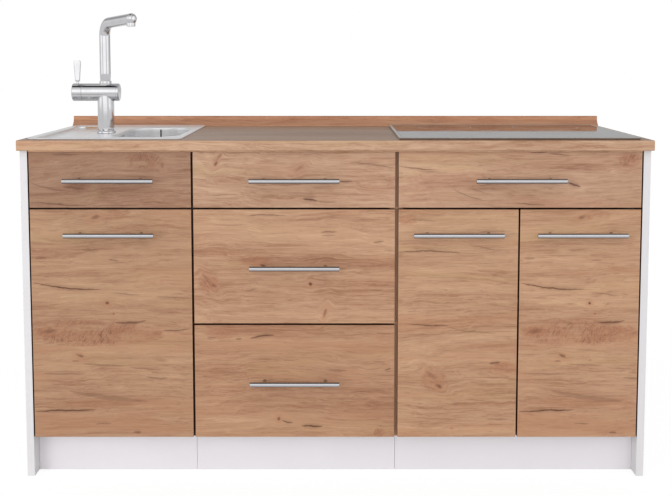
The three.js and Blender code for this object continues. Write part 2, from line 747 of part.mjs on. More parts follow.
// ---- Worktop with its two cut-outs, and the strip at the wall ----
function worktop() {
  const r = worktopEdgeRadius;
  const corner = (y, z, quarter) =>
    Array.from({ length: worktopEdgeSteps + 1 }, (_, i) => {
      const angle = ((quarter + i / worktopEdgeSteps) * Math.PI) / 2;
      return [y + r * Math.cos(angle), z + r * Math.sin(angle)];
    });
  const profile = [
    ...corner(worktopFront + r, cabinetTop + r, 2),
    [worktopBack, cabinetTop],
    [worktopBack, worktopTop],
    ...corner(worktopFront + r, worktopTop - r, 1),
  ];
  const through = [cabinetTop - 1, worktopTop + 1];
  const sinkCutout = plate(
    roundedOutline(
      [drainerX[0] - bowlWall - cutoutClearance, bowlX[1] + bowlWall + cutoutClearance],
      [
        Math.min(drainerY[0], bowlY[0]) - bowlWall - cutoutClearance,
        Math.max(drainerY[1], bowlY[1]) + bowlWall + cutoutClearance,
      ],
      drainerCornerRadius,
    ),
    through,
  );
  const hobCutout = box(
    widened(casingX, hobCutoutClearance),
    widened(casingY, hobCutoutClearance),
    through,
  );
  return cut(alongX(profile, [-worktopRight, worktopRight]), sinkCutout, hobCutout);
}
piece("worktop", worktop(), oak);

const stripProfile = [
  [worktopBack, worktopTop],
  [worktopBack, worktopTop + stripHeight],
  [worktopBack - stripTopDepth, worktopTop + stripHeight],
  [worktopBack - stripTopDepth - stripBevel, worktopTop + stripHeight - stripBevel],
  [stripFront, worktopTop + stripToeHeight],
  [stripFront, worktopTop],
];
piece("wall_strip", alongX(stripProfile, [-worktopRight, worktopRight]), oak);

export default unit;
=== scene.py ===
"""Kitchenette unit with sink and hob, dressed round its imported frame.

Metres, +Z up, the fronts face -Y. Each surface is worked out as a whole array, and each
docstring gives its formula in words. Profiles and marks are in millimetres.
"""

import math

import bmesh
import bpy
import numpy as np
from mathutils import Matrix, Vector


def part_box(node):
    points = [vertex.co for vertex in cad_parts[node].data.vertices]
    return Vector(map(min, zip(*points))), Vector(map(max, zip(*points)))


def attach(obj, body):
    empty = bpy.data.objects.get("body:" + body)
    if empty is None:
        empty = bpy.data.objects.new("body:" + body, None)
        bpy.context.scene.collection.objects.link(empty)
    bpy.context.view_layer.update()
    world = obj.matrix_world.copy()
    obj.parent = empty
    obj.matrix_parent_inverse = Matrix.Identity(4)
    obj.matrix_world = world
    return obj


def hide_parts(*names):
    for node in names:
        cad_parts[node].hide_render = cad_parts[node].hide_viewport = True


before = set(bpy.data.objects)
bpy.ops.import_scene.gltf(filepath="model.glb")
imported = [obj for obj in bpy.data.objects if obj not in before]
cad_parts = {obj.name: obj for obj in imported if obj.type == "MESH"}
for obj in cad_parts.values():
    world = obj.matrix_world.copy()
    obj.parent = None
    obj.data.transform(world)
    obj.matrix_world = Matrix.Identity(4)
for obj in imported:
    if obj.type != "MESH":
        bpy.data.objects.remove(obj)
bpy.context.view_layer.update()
scene = bpy.context.scene
scene.view_settings.view_transform = "Standard"
MM = 0.001
TURN = 2 * math.pi


# ---- Camera, floor, world and lamp ----
CAMERA_PLACE = (0, -2.913, 1.040)
CAMERA_DOWN = 5.04  # degrees
CAMERA_LENS = 58.36
CAMERA_SHIFT = (0.0009, -0.14)
FLOOR_REACH = 30


def link(name, data):
    """A new object with this data, put into the scene."""
    thing = bpy.data.objects.new(name, data)
    scene.collection.objects.link(thing)
    return thing


def set_camera():
    """The photograph's camera: it looks down a little, and its shift lowers the picture."""
    data = bpy.data.cameras.new("camera")
    data.sensor_width = 36
    data.lens = CAMERA_LENS
    data.shift_x, data.shift_y = CAMERA_SHIFT
    camera = link("camera", data)
    camera.location = CAMERA_PLACE
    camera.rotation_euler = (math.radians(90 - CAMERA_DOWN), 0, 0)
    scene.camera = camera


def tint(colour, tone=1.0, step=0):
    """A colour from its three 8-bit values, times a tone and plus a step, as the linear numbers
    that a shader takes."""
    shares = (np.array(colour) * tone + step) / 255
    linear = np.where(shares <= 0.04045, shares / 12.92, ((shares + 0.055) / 1.055) ** 2.4)
    return (*linear.tolist(), 1.0)


class Wiring:
    """A node tree being wired up: its methods add nodes and hand back what comes out."""

    def __init__(self, tree):
        self.tree = tree
        self.nodes = tree.nodes

    def feed(self, socket, value):
        if isinstance(value, bpy.types.NodeSocket):
            self.tree.links.new(value, socket)
        else:
            socket.default_value = value

    def add(self, kind, *values, **settings):
        """A node with its settings made, and with its first inputs fed in their own order."""
        node = self.nodes.new(kind)
        for key, value in settings.items():
            setattr(node, key, value)
        for socket, value in zip(node.inputs, values):
            self.feed(socket, value)
        return node

    def maths(self, operation, *values):
        return self.add("ShaderNodeMath", *values, operation=operation).outputs[0]

    def product(self, value, *others):
        for other in others:
            value = self.maths("MULTIPLY", value, other)
        return value

    def line(self, value, slope, start):
        """The slope times the value, plus the start."""
        return self.maths("MULTIPLY_ADD", value, slope, start)

    def most(self, a, b):
        return self.maths("MAXIMUM", a, b)

    def size(self, value):
        return self.maths("ABSOLUTE", value)

    def apart(self, vector):
        return self.add("ShaderNodeSeparateXYZ", vector).outputs

    def together(self, x, y, z):
        return self.add("ShaderNodeCombineXYZ", x, y, z).outputs[0]

    def scaled(self, vector, sizes):
        """The vector times three sizes, or times one size for all three axes."""
        sizes = sizes if isinstance(sizes, tuple) else (sizes,) * 3
        return self.add("ShaderNodeVectorMath", vector, sizes, operation="MULTIPLY").outputs[0]

    def local(self, vector, place, sizes, tilt=0.0):
        """The vector as seen from a place, in units of the sizes, with the grain plane tilted."""
        turn = (0, -math.radians(tilt), 0)
        return self.add("ShaderNodeMapping", vector, place, turn, sizes, vector_type="TEXTURE").outputs[0]

    def noise(self, vector, sizes, detail=2.0, roughness=0.5, distortion=0.0):
        """Fractal noise from 0 to 1, on the vector times the sizes."""
        node = self.add("ShaderNodeTexNoise")
        self.feed(node.inputs["Vector"], self.scaled(vector, sizes))
        self.feed(node.inputs["Scale"], 1.0)
        self.feed(node.inputs["Detail"], detail)
        self.feed(node.inputs["Roughness"], roughness)
        self.feed(node.inputs["Distortion"], distortion)
        return node.outputs["Fac"]

    def span(self, value, start, end, low=0.0, high=1.0, smooth=True):
        """From low to high as the value goes from start to end, on a soft or a straight ramp."""
        kind = "SMOOTHSTEP" if smooth else "LINEAR"
        node = self.add("ShaderNodeMapRange", value, start, end, low, high, interpolation_type=kind)
        return node.outputs[0]

    def choice(self, share, a, b):
        """The number a where the share is 0, and b where it is 1."""
        node = self.add("ShaderNodeMix", share, data_type="FLOAT")
        self.feed(node.inputs[2], a)
        self.feed(node.inputs[3], b)
        return node.outputs[0]

    def blend(self, share, a, b, how="MIX"):
        """The colour a where the share is 0, and b, or a times b, where it is 1."""
        node = self.add("ShaderNodeMix", share, data_type="RGBA", blend_type=how)
        self.feed(node.inputs[6], a)
        self.feed(node.inputs[7], b)
        return node.outputs[2]

    def multiplied(self, colour, by):
        return self.blend(1.0, colour, by, "MULTIPLY")

    def ramp(self, value, stops):
        """The colour that belongs to a value, between the stops' own colours."""
        node = self.add("ShaderNodeValToRGB", value)
        band = node.color_ramp
        for element, (position, colour) in zip(band.elements, (stops[0], stops[-1])):
            element.position = position
            element.color = colour
        for position, colour in stops[1:-1]:
            band.elements.new(position).color = colour
        return node.outputs[0]

    def camera_ray(self):
        return self.add("ShaderNodeLightPath").outputs["Is Camera Ray"]

    def seen(self):
        """1 for the rays that show the surroundings: from the camera, in gloss and through glass."""
        rays = self.add("ShaderNodeLightPath").outputs
        either = self.most(rays["Is Camera Ray"], rays["Is Glossy Ray"])
        return self.most(either, rays["Is Transmission Ray"])


def set_world():
    """White as the camera sees it. What lights the object is brighter in front than behind. What
    shows in its gloss is a room: walls brighter in front, a glow low on the left, a window in
    front, a dark bar on each side and a dark patch overhead."""
    world = bpy.data.worlds.new("studio")
    world.use_nodes = True
    scene.world = world
    w = Wiring(world.node_tree)
    x, y, z = w.apart(w.add("ShaderNodeTexCoord").outputs["Generated"])
    aside = w.size(x)
    in_front = w.most(w.product(y, -1.0), 0.0)
    fill = w.product(w.line(in_front, 0.93, 0.67), w.span(z, 0.3, 1.0, 1.0, 0.80))
    low_left = w.product(w.span(x, -0.02, -0.16), w.span(z, 0.38, 0.16))
    glow = w.span(y, 0.2, 0.8, 0.0, 0.26)
    walls = w.line(low_left, glow, w.span(y, -0.6, 0.9, 0.95, 0.57))
    window = w.product(w.span(z, -0.16, 0.06), w.span(z, 0.66, 0.42), w.span(y, 0.1, -0.35))
    side_bar = w.span(w.size(w.maths("ADD", aside, -0.62)), 0.20, 0.08, 1.0, 0.62)
    walls = w.product(w.line(window, 0.36, walls), side_bar)
    overhead = w.product(w.span(z, 0.87, 0.93), w.span(y, 0.12, 0.0), w.span(aside, 0.34, 0.22))
    gloss = w.product(walls, w.span(z, 0.5, 0.9, 1.0, 0.72), w.span(overhead, 0, 1, 1.0, 0.04))
    shown = w.choice(w.camera_ray(), gloss, 1.0)
    background = w.nodes["Background"]
    background.inputs["Color"].default_value = (1, 1, 1, 1)
    w.feed(background.inputs["Strength"], w.choice(w.seen(), fill, shown))


def set_floor():
    """A plain pale floor: mostly white of its own, so that only a soft shadow shows on it."""
    mesh = bpy.data.meshes.new("floor")
    corners = FLOOR_REACH * np.array([(-1, -1, 0), (1, -1, 0), (1, 1, 0), (-1, 1, 0)])
    mesh.from_pydata(corners.tolist(), [], [(0, 1, 2, 3)])
    floor = link("floor", mesh)
    f = Finish("pale_floor", 0.9, specular=0.1)
    f.set("Base Color", (0.82, 0.82, 0.82, 1))
    white = f.add("ShaderNodeEmission", (1, 1, 1, 1), f.span(f.camera_ray(), 0, 1, 0.74, 1.1))
    matt = f.shader.outputs[0]
    mixed = f.add("ShaderNodeMixShader", f.product(f.seen(), 0.8), matt, white.outputs[0])
    f.feed(f.nodes["Material Output"].inputs["Surface"], mixed.outputs[0])
    mesh.materials.append(f.material)


def set_lamp(name, place, aim, size, power):
    """A rectangular lamp that looks from its place at its aim, and doesn't show in gloss."""
    data = bpy.data.lights.new(name, "AREA")
    data.shape = "RECTANGLE"
    data.size, data.size_y = size
    data.energy = power
    lamp = link(name, data)
    lamp.location = place
    towards = np.array(aim) - np.array(place)
    pitch = math.atan2(math.hypot(towards[0], towards[1]), -towards[2])
    lamp.visible_glossy = False
    lamp.rotation_euler = (pitch, 0, math.atan2(towards[0], -towards[1]) + math.pi)


# ---- Meshes ----
LEAST_RADIUS = 2e-4
AXIS_RADIUS = 1e-5
AXES = {"x": (2, 0, 1), "y": (1, 2, 0), "z": (0, 1, 2)}


def circle(sides):
    """The points of a unit circle, in equal steps."""
    angle = np.linspace(0, TURN, sides, endpoint=False)
    return np.stack([np.cos(angle), np.sin(angle)], -1)


def arc(centre, across, up, steps):
    """A quarter of an ellipse, from above or below its centre to beside it: across times sin t
    and up times cos t, in equal steps of t."""
    t = np.linspace(0, TURN / 4, steps + 1)
    return np.column_stack([centre[0] + across * np.sin(t), centre[1] + up * np.cos(t)])


def ring(x, y, radius, corner=6, side=1):
    """A rectangle with rounded corners, anticlockwise from the lower right one: each corner is
    an arc of equal steps about its centre, each side a line of equal parts."""
    signs = np.array([(1, -1), (1, 1), (-1, 1), (-1, -1)])
    corners = np.array([(x[1], y[0]), (x[1], y[1]), (x[0], y[1]), (x[0], y[0])])
    centres = corners - signs * radius
    angles = (np.arange(4)[:, None] - 1 + np.linspace(0, 1, corner + 1)) * TURN / 4
    arcs = centres[:, None] + radius * np.stack([np.cos(angles), np.sin(angles)], -1)
    share = np.linspace(0, 1, side + 1)[1:-1, None]
    starts, ends = arcs[:, -1], np.roll(arcs[:, 0], -1, axis=0)
    sides = starts[:, None] * (1 - share) + ends[:, None] * share
    return np.concatenate([arcs, sides], axis=1).reshape(-1, 2)


def rim(grid):
    """The outermost points of a grid, one after another: its first row, its last column, its
    last row backwards and its first column backwards."""
    return np.concatenate([grid[0], grid[1:, -1], grid[-1, -2::-1], grid[-2:0:-1, 0]])


def flat(points, height):
    """Points of a plane, all put at one height."""
    return np.column_stack([points, np.full(len(points), height)])


def lattice(rows, columns, round_rows=False, round_columns=True):
    """The four-cornered faces between the rows and columns of a grid of points."""
    i = np.arange(rows if round_rows else rows - 1)[:, None]
    j = np.arange(columns if round_columns else columns - 1)[None, :]
    down, across = (i + 1) % rows, (j + 1) % columns
    corners = [i * columns + j, i * columns + across, down * columns + across, down * columns + j]
    return np.stack(np.broadcast_arrays(*corners), -1).reshape(-1, 4)


def skin(rings, first=True, last=True, round_rows=False):
    """A surface through rings of points, each joined to the next, with its two ends filled."""
    rings = np.asarray(rings, float)
    rows, columns = rings.shape[:2]
    faces = lattice(rows, columns, round_rows).tolist()
    if first:
        faces.append(list(range(columns))[::-1])
    if last:
        faces.append(list(range((rows - 1) * columns, rows * columns)))
    return rings.reshape(-1, 3), faces


def along(shape, axis):
    """A shape made along +Z, turned so that it runs along another axis, corner for corner."""
    points, faces = shape
    return points[:, AXES[axis]], faces


def extruded(section, axis, stations):
    """A section carried along an axis from station to station."""
    return along(skin([flat(section, station) for station in stations]), axis)


def slab(low, high, edge=1.0, corner=1.5, axis="z", steps=4):
    """A board between two corners: rounded outlines stacked through its thickness. At each face
    the outline is drawn in by edge times (1 - sin t) at a depth of edge times (1 - cos t)."""
    low, high = np.array(low, float), np.array(high, float)
    a, b, c = (AXES[axis].index(i) for i in range(3))
    t = np.linspace(0, TURN / 4, steps + 1)
    inset = edge * MM * (1 - np.sin(t))
    depth = edge * MM * (1 - np.cos(t))
    insets = np.concatenate([inset, inset[::-1]])
    heights = np.concatenate([low[c] + depth, high[c] - depth[::-1]])
    rows = []
    for i, height in zip(insets, heights):
        radius = max(corner * MM - i, LEAST_RADIUS)
        rows.append(flat(ring((low[a] + i, high[a] - i), (low[b] + i, high[b] - i), radius, 3), height))
    return along(skin(rows), axis)


def turned(profile, centre, axis="z", sides=48, capped=True):
    """A turned piece: each radius and height of the profile is carried round the axis."""
    profile = np.array(profile, float) * MM
    rows = [flat(circle(sides) * max(radius, AXIS_RADIUS), height) for radius, height in profile]
    points, faces = along(skin(rows, capped, capped), axis)
    return points + np.array(centre, float), faces


def rod(centre, radius, start, end, edge=0.8, axis="z", sides=48):
    """A rod along an axis through a centre, its ends rounded as quarter circles of the edge's
    radius. Its start and end are millimetres from the centre."""
    near = arc((radius - edge, start + edge), edge, -edge, 4)
    far = arc((radius - edge, end - edge), edge, edge, 4)[::-1]
    return turned(np.vstack([near, far]), centre, axis, sides)


def swept(path, radii, normal, sides=40):
    """A tube: at each point of the path, a circle across the path's own direction. Its first
    axis is the given normal of the path's plane, its second the cross product of the two."""
    ahead = np.gradient(path, axis=0)
    ahead /= np.linalg.norm(ahead, axis=1, keepdims=True)
    first = np.broadcast_to(np.asarray(normal, float), path.shape)
    second = np.cross(ahead, first)
    angle = np.linspace(0, TURN, sides, endpoint=False)[None, :, None]
    offset = np.cos(angle) * first[:, None] + np.sin(angle) * second[:, None]
    return skin(path[:, None] + offset * radii[:, None, None])


def joined(shapes):
    """Several shapes as one: their points in a row, and their faces numbered to match."""
    starts = np.cumsum([0] + [len(points) for points, _ in shapes])
    faces = [[corner + start for corner in face] for (_, part), start in zip(shapes, starts) for face in part]
    return np.concatenate([points for points, _ in shapes]), faces


def piece(name, shapes, finish, stands_for=None, body="root", sharp=40, closed=True):
    """Joins shapes into one mesh, merges what coincides, gives it its finish as its material, hangs it on its
    body, and hides the CAD node that it stands for, if any."""
    points, faces = joined(shapes if isinstance(shapes, list) else [shapes])
    mesh = bpy.data.meshes.new(name)
    mesh.from_pydata(points.tolist(), [], faces)
    work = bmesh.new()
    work.from_mesh(mesh)
    bmesh.ops.remove_doubles(work, verts=work.verts, dist=2e-6)
    bmesh.ops.dissolve_degenerate(work, edges=work.edges, dist=1e-6)
    if closed:
        bmesh.ops.recalc_face_normals(work, faces=work.faces)
    work.to_mesh(mesh)
    work.free()
    mesh.shade_smooth()
    mesh.set_sharp_from_angle(angle=math.radians(sharp))
    mesh.materials.append(finish)
    thing = link(name, mesh)
    thing.modifiers.new("even_shading", "WEIGHTED_NORMAL").keep_sharp = True
    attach(thing, body)
    if stands_for:
        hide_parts(stands_for)
    return thing


# ---- Finishes ----
class Finish(Wiring):
    """A material being wired up, with its shader, the place on the object and its facing."""

    def __init__(self, name, roughness=0.5, metal=0.0, specular=0.5):
        self.material = bpy.data.materials.new(name)
        self.material.use_nodes = True
        super().__init__(self.material.node_tree)
        self.shader = self.nodes["Principled BSDF"]
        coordinates = self.add("ShaderNodeTexCoord").outputs
        self.place = coordinates["Object"]
        self.facing = coordinates["Normal"]
        self.set("Metallic", metal)
        self.set("Roughness", roughness)
        self.set("Specular IOR Level", specular)

    def set(self, socket, value):
        self.feed(self.shader.inputs[socket], value)

    def bump(self, height, depth):
        """Relief: the height, from 0 to 1, stands for a depth in millimetres."""
        node = self.add("ShaderNodeBump")
        self.feed(node.inputs["Strength"], 1.0)
        self.feed(node.inputs["Distance"], depth * MM)
        self.feed(node.inputs["Height"], height)
        self.set("Normal", node.outputs["Normal"])

    def cells(self, count, output="Distance"):
        """Cells, so many to a metre: how far a point is from its cell's middle, or its colour."""
        return self.add("ShaderNodeTexVoronoi", self.scaled(self.place, count)).outputs[output]

    def coloured(self, colour):
        """Sets the colour, and hands back the material."""
        self.set("Base Color", colour)
        return self.material


OAK_STOPS = [
    (0.368, (140, 98, 72)),
    (0.434, (165, 123, 94)),
    (0.50, (184, 145, 115)),
    (0.566, (196, 158, 126)),
    (0.642, (210, 177, 145)),
]
OAK_SHADES = {
    "warm": (184, 134, 101),
    "sand": (192, 160, 118),
    "pore": (136, 96, 72),
    "figure": (172, 120, 90),
    "knot": (112, 74, 54),
    "crack": (86, 50, 34),
}
# Brown for the fronts' edge faces: painted shade that darkens the gaps between fronts.
GAP_SHADE_BAND = ((88, 52, 34), (112, 70, 48))


class Oak(Finish):
    """Oak print with its grain along X, laid step by step on a sheet that starts at a corner. A
    squeeze shortens the sheet along its grain, and a shift moves the grain across it."""

    def __init__(self, name, corner, squeeze, tone, shift, specular):
        super().__init__(name, specular=specular)
        self.shades = {key: tint(colour, tone) for key, colour in OAK_SHADES.items()}
        self.stops = [(position, tint(colour, tone)) for position, colour in OAK_STOPS]
        self.sheet = self.local(self.place, (corner[0], 0, corner[1]), (squeeze, 1, 1))
        self.x, self.y, self.z = self.apart(self.sheet)
        drift = self.noise(self.place, (1.9, 5.0, 5.0), 4, 0.55)
        lift = self.line(drift, 0.085, shift - 0.0425)
        self.across = self.maths("ADD", self.z, lift)
        self.deep = self.maths("ADD", self.y, lift)
        self.ragged = self.noise(self.place, (75, 0, 110), 3, 0.6)
        self.patchy = self.span(self.noise(self.place, (13, 0, 36), 3, 0.6), 0.36, 0.62, 0.25, 1.0)
        self.core = self.halo = self.dark = self.shade = 0.0

    def lay(self, share, shade):
        """Lays a named shade or another colour over the sheet, as strongly as the share says."""
        over = self.shades[shade] if isinstance(shade, str) else shade
        self.colour = self.blend(share, self.colour, over)

    def squared(self, along, up, half_length, half_height, tilt):
        """The squared distance from a place on the sheet, in units of a mark's half sizes."""
        sizes = (half_length * MM, 1, half_height * MM)
        q = self.scaled(self.local(self.sheet, (along * MM, 0, up * MM), sizes, tilt), (1, 0, 1))
        return self.add("ShaderNodeVectorMath", q, q, operation="DOT_PRODUCT").outputs["Value"]

    def knot(self, along, up, half_length, half_height, tilt, strength):
        """A ragged core and a halo. The grain is pushed away from its middle line, by a share of
        the distance that falls off as a bell curve."""
        squared = self.squared(along, up, half_length, half_height, tilt)
        near = self.maths("EXPONENT", self.product(squared, -0.11))
        from_middle = self.maths("SUBTRACT", self.z, up * MM)
        self.across = self.line(self.product(near, from_middle), -0.8, self.across)
        edge = self.line(self.ragged, 2.6, self.maths("SUBTRACT", squared, 1.3))
        around = self.span(self.line(self.ragged, 5.0, squared), 13, 2.5)
        self.core = self.most(self.core, self.product(self.span(edge, 1.7, -0.1), strength))
        self.halo = self.most(self.halo, self.product(around, strength * 0.62))

    def print_grain(self):
        """Noise drawn out along the grain in five sizes, through the stops. Over it lie warm and
        sandy stretches, pores that come and go, and the knots' halos."""
        grain = self.together(self.x, self.deep, self.across)
        broad = self.noise(grain, (1.0, 8, 8), 2, 0.5)
        bands = self.noise(grain, (2.6, 30, 30), 4, 0.6)
        self.streaks = self.noise(grain, (5.5, 125, 125), 4, 0.65, 0.15)
        self.hairs = self.noise(grain, (10, 330, 330), 3, 0.65)
        self.fibres = self.noise(grain, (70, 900, 900), 2, 0.6)
        level = self.line(broad, 0.20, self.product(bands, 0.25))
        for size, share in ((self.streaks, 0.24), (self.hairs, 0.22), (self.fibres, 0.09)):
            level = self.line(size, share, level)
        self.colour = self.ramp(level, self.stops)
        warm = self.noise(grain, (1.5, 13, 13), 5, 0.6, 0.3)
        self.lay(self.span(warm, 0.50, 0.70, 0, 0.50), "warm")
        sand = self.noise(grain, (1.2, 19, 17), 4, 0.6, 0.4)
        self.lay(self.span(sand, 0.53, 0.72, 0, 0.5), "sand")
        self.dashes = self.span(self.noise(grain, (20, 300, 300), 2, 0.5), 0.58, 0.70)
        calm = self.span(self.noise(self.place, (3.4, 9, 15), 3, 0.6), 0.40, 0.62)
        pores = self.blend(self.dashes, self.colour, self.shades["pore"])
        self.lay(self.line(calm, 0.34, self.product(self.dashes, 0.10)), pores)
        self.lay(self.halo, "warm")

    def brush(self, along, up, half_length, half_height, tilt, strength):
        """Brushed figure: a patch with a ragged edge, full of short tilted strokes."""
        squared = self.squared(along, up, half_length, half_height, 0)
        edge = self.line(self.ragged, 1.5, self.maths("ADD", squared, -0.75))
        near = self.product(self.span(edge, 1.5, 0.45), self.patchy)
        stroke = self.local(self.sheet, (0, 0, 0), (0.022, 1, 0.0064), tilt)
        strokes = self.span(self.noise(stroke, 1, 4, 0.72, 1.7), 0.47, 0.62)
        self.lay(self.product(near, 0.66), "figure")
        self.lay(self.product(near, strokes, strength), "knot")

    def crack(self, wavy, along, up, half_length, half_width, tilt, bend, strength):
        """A crack and its halo, on a wavy sheet. Along it u runs from -1 to 1, across it v counts
        half widths: the distance from the bent middle line, over a width that tapers as 1 - u²."""
        sizes = (half_length * MM, 1, half_width * 1.05 * MM)
        u, _, v = self.apart(self.local(wavy, (along * MM, 0, up * MM), sizes, tilt))
        squared = self.product(u, u)
        taper = self.maths("SUBTRACT", 1.0, squared)
        off = self.size(self.line(squared, -bend / half_width, v))
        near = self.maths("DIVIDE", off, self.most(taper, 0.02))
        shown = self.product(self.span(taper, 0.0, 0.25), strength)
        self.dark = self.most(self.dark, self.product(self.span(near, 1.05, 0.35), shown))
        self.shade = self.most(self.shade, self.product(self.span(near, 4.0, 0.6), shown))

    def lay_marks(self, cracks, brushes):
        """Brushed figure, then the knots' cores, then cracks on a sheet with fine waves."""
        for mark in brushes:
            self.brush(*mark)
        self.lay(self.product(self.core, self.span(self.hairs, 0.3, 0.6, 0.7, 1.0)), "knot")
        heart = self.span(self.streaks, 0.35, 0.6)
        self.lay(self.product(self.span(self.core, 0.45, 0.9), heart), "crack")
        ripple = self.line(self.noise(self.place, (24, 0, 40), 3, 0.65), 0.009, -0.0045)
        wavy = self.together(self.x, self.y, self.maths("ADD", self.z, ripple))
        for mark in cracks:
            self.crack(wavy, *mark)
        self.lay(self.product(self.shade, 0.38), "pore")
        self.lay(self.product(self.dark, self.span(self.hairs, 0.25, 0.6, 0.6, 1.0)), "crack")

    def fade(self, way, start, end, low, high):
        """Multiplies the colour by a share that goes from low to high along X or up Z: painted light and
        shade.
        """
        place = self.x if way == "x" else self.z
        share = self.span(place, start * MM, end * MM, low, high)
        self.colour = self.multiplied(self.colour, self.together(share, share, share))


def oak(name, corner=(0.0, 0.0), squeeze=1.0, tone=(1, 1, 1), roughness=0.5, shift=0.0, top=None,
        upward=(0.90, 0.995), painted_light_fades=(), gap_shade_edging=False, cracks=(), knots=(), brushes=()):
    """Oak print with its marks. It can carry painted light and shade that fade along X and up Z, painted
    shade on faces that look up, and a brown band on its edges that is painted shade for the gaps between
    fronts."""
    f = Oak(name, corner, squeeze, tone, shift, specular=0.16 if top else 0.35)
    for mark in knots:
        f.knot(*mark)
    f.print_grain()
    f.lay_marks(cracks, brushes)
    for fade in painted_light_fades:
        f.fade(*fade)
    _, out, up = f.apart(f.facing)
    # painted shade: the colour is multiplied darker on faces that look up
    if top:
        f.lay(f.span(up, *upward), f.multiplied(f.colour, (*top, 1)))
    # painted shade: edge faces turn brown so the gaps between fronts look dark
    if gap_shade_edging:
        dark, light = GAP_SHADE_BAND
        f.lay(f.span(f.size(out), 0.80, 0.40), f.blend(f.streaks, tint(dark), tint(light)))
    f.set("Roughness", f.span(f.fibres, 0.2, 0.8, roughness - 0.06, roughness + 0.08, smooth=False))
    f.bump(f.line(f.dashes, -0.6, f.product(f.hairs, 0.6)), 0.14)
    return f.coloured(f.colour)


def coating(f, colour, roughness):
    """Melamine: a fine pearl in its colour and a faint unevenness of its gloss."""
    pearl = f.noise(f.place, 900, 2, 0.6)
    cloud = f.noise(f.place, 5, 3, 0.5)
    f.set("Roughness", f.span(cloud, 0.2, 0.8, roughness - 0.05, roughness + 0.07, smooth=False))
    f.bump(pearl, 0.05)
    shade = f.blend(f.span(cloud, 0.3, 0.7, 0, 0.5), tint(colour), tint(colour, step=-5))
    return f.blend(f.span(pearl, 0.45, 0.75, 0, 0.35), shade, tint(colour, step=-9))


def coated_board(name, colour, roughness=0.45):
    """Board coated on all its faces."""
    f = Finish(name, specular=0.4)
    return f.coloured(coating(f, colour, roughness))


def backed_board():
    """The end panels' board: pearl white, with brown painted shade on its inner face, which shows only in the
    gap beside the fronts.
    """
    f = Finish("panel_board", specular=0.4)
    white = coating(f, (224, 222, 224), 0.45)
    painted_gap_shade = f.noise(f.place, (60, 240, 240), 3, 0.6)
    x, _, z = f.apart(f.place)
    # painted shade: the panels' inner faces are dark brown so the gap beside the end fronts looks dark
    inner = f.product(f.span(f.size(x), 0.7504, 0.7502), f.span(z, 0.099, 0.101))
    return f.coloured(f.blend(inner, white, f.blend(painted_gap_shade, tint((66, 50, 42)), tint((88, 68, 56)))))


INNER_WHITE = (226, 224, 221)


def banded_board():
    """The cabinets' own boards: pale coating, with a brown band on their front edges, partly the edge band
    seen between the drawers and the hob
    and partly painted light and shade: dark where the gaps between fronts should look black, lighter where
    the drawers' cabinet meets the hob's."""
    f = Finish("cabinet_board", specular=0.4)
    pale = coating(f, INNER_WHITE, 0.5)
    band = f.noise(f.place, (40, 40, 7), 3, 0.6)
    x, y, _ = f.apart(f.place)
    # painted light beside the hob, against the shade deep in that gap; elsewhere the band is dark, as painted
    # shade
    painted_light_beside_hob = f.span(f.size(f.maths("ADD", x, -0.150)), 0.022, 0.018)
    dark = f.blend(band, tint((50, 30, 21)), tint((70, 43, 30)))
    light = f.blend(band, tint((186, 138, 106)), tint((208, 158, 124)))
    return f.coloured(f.blend(f.span(y, -0.2574, -0.2576), pale, f.blend(painted_light_beside_hob, dark, light)))


def brushing(f, colour, roughness, lines, relief, soil):
    """Steel brushed one way: fine lines drawn out along the brushing, and broad soft stains."""
    hair = f.noise(f.place, lines, 3, 0.7)
    stain = f.noise(f.place, 14, 3, 0.5)
    f.set("Roughness", f.line(hair, 0.08, f.line(stain, soil, roughness - soil / 2)))
    f.bump(hair, relief)
    return f.blend(f.span(hair, 0.3, 0.7), tint(colour, step=5), tint(colour, step=-9))


def brushed_metal(name, colour, roughness, lines, relief, soil=0.06, metal=1.0):
    """Steel brushed one way, on all its faces."""
    f = Finish(name, metal=metal)
    return f.coloured(brushing(f, colour, roughness, lines, relief, soil))


def satin_bar():
    """Satin nickel on a round bar, brushed along it, with painted shade: its colour is darkened on faces that
    look up and, more, on faces that look down."""
    f = Finish("handle_steel", metal=1.0)
    bright = brushing(f, (206, 205, 207), 0.17, (60, 2600, 2600), 0.006, 0.06)
    _, _, up = f.apart(f.facing)
    # painted shade: top and underside darker, standing in for the dark surroundings they would reflect
    painted_shade_above = f.multiplied(bright, tint((206, 204, 208)))
    painted_shade_below = f.multiplied(bright, tint((172, 170, 176)))
    lower = f.blend(f.span(up, -0.25, -0.70), bright, painted_shade_below)
    return f.coloured(f.blend(f.span(up, 0.40, 0.85), lower, painted_shade_above))


def polished_chrome():
    """Chrome: bright and smooth, with dried water drops and fingermarks in its gloss, and only
    faintly in its colour."""
    f = Finish("chrome", metal=1.0)
    smear = f.noise(f.place, 30, 4, 0.6)
    rims = f.product(f.span(f.cells(130), 0.20, 0.12), f.span(smear, 0.55, 0.7))
    f.set("Roughness", f.line(rims, 0.10, f.span(smear, 0.3, 0.8, 0.035, 0.085)))
    return f.coloured(f.blend(f.span(smear, 0.3, 0.7), tint((224, 224, 226)), tint((215, 215, 218))))


def zinc_plate():
    """Zinc-plated steel: mottled crystals in its colour and its gloss."""
    f = Finish("zinc_plate", metal=1.0)
    shade = f.add("ShaderNodeSeparateColor", f.cells(260, "Color")).outputs[0]
    f.set("Roughness", f.span(shade, 0, 1, 0.34, 0.46))
    f.bump(f.noise(f.place, 600, 2, 0.5), 0.02)
    return f.coloured(f.blend(f.span(shade, 0, 1), tint((178, 181, 183)), tint((196, 197, 198))))


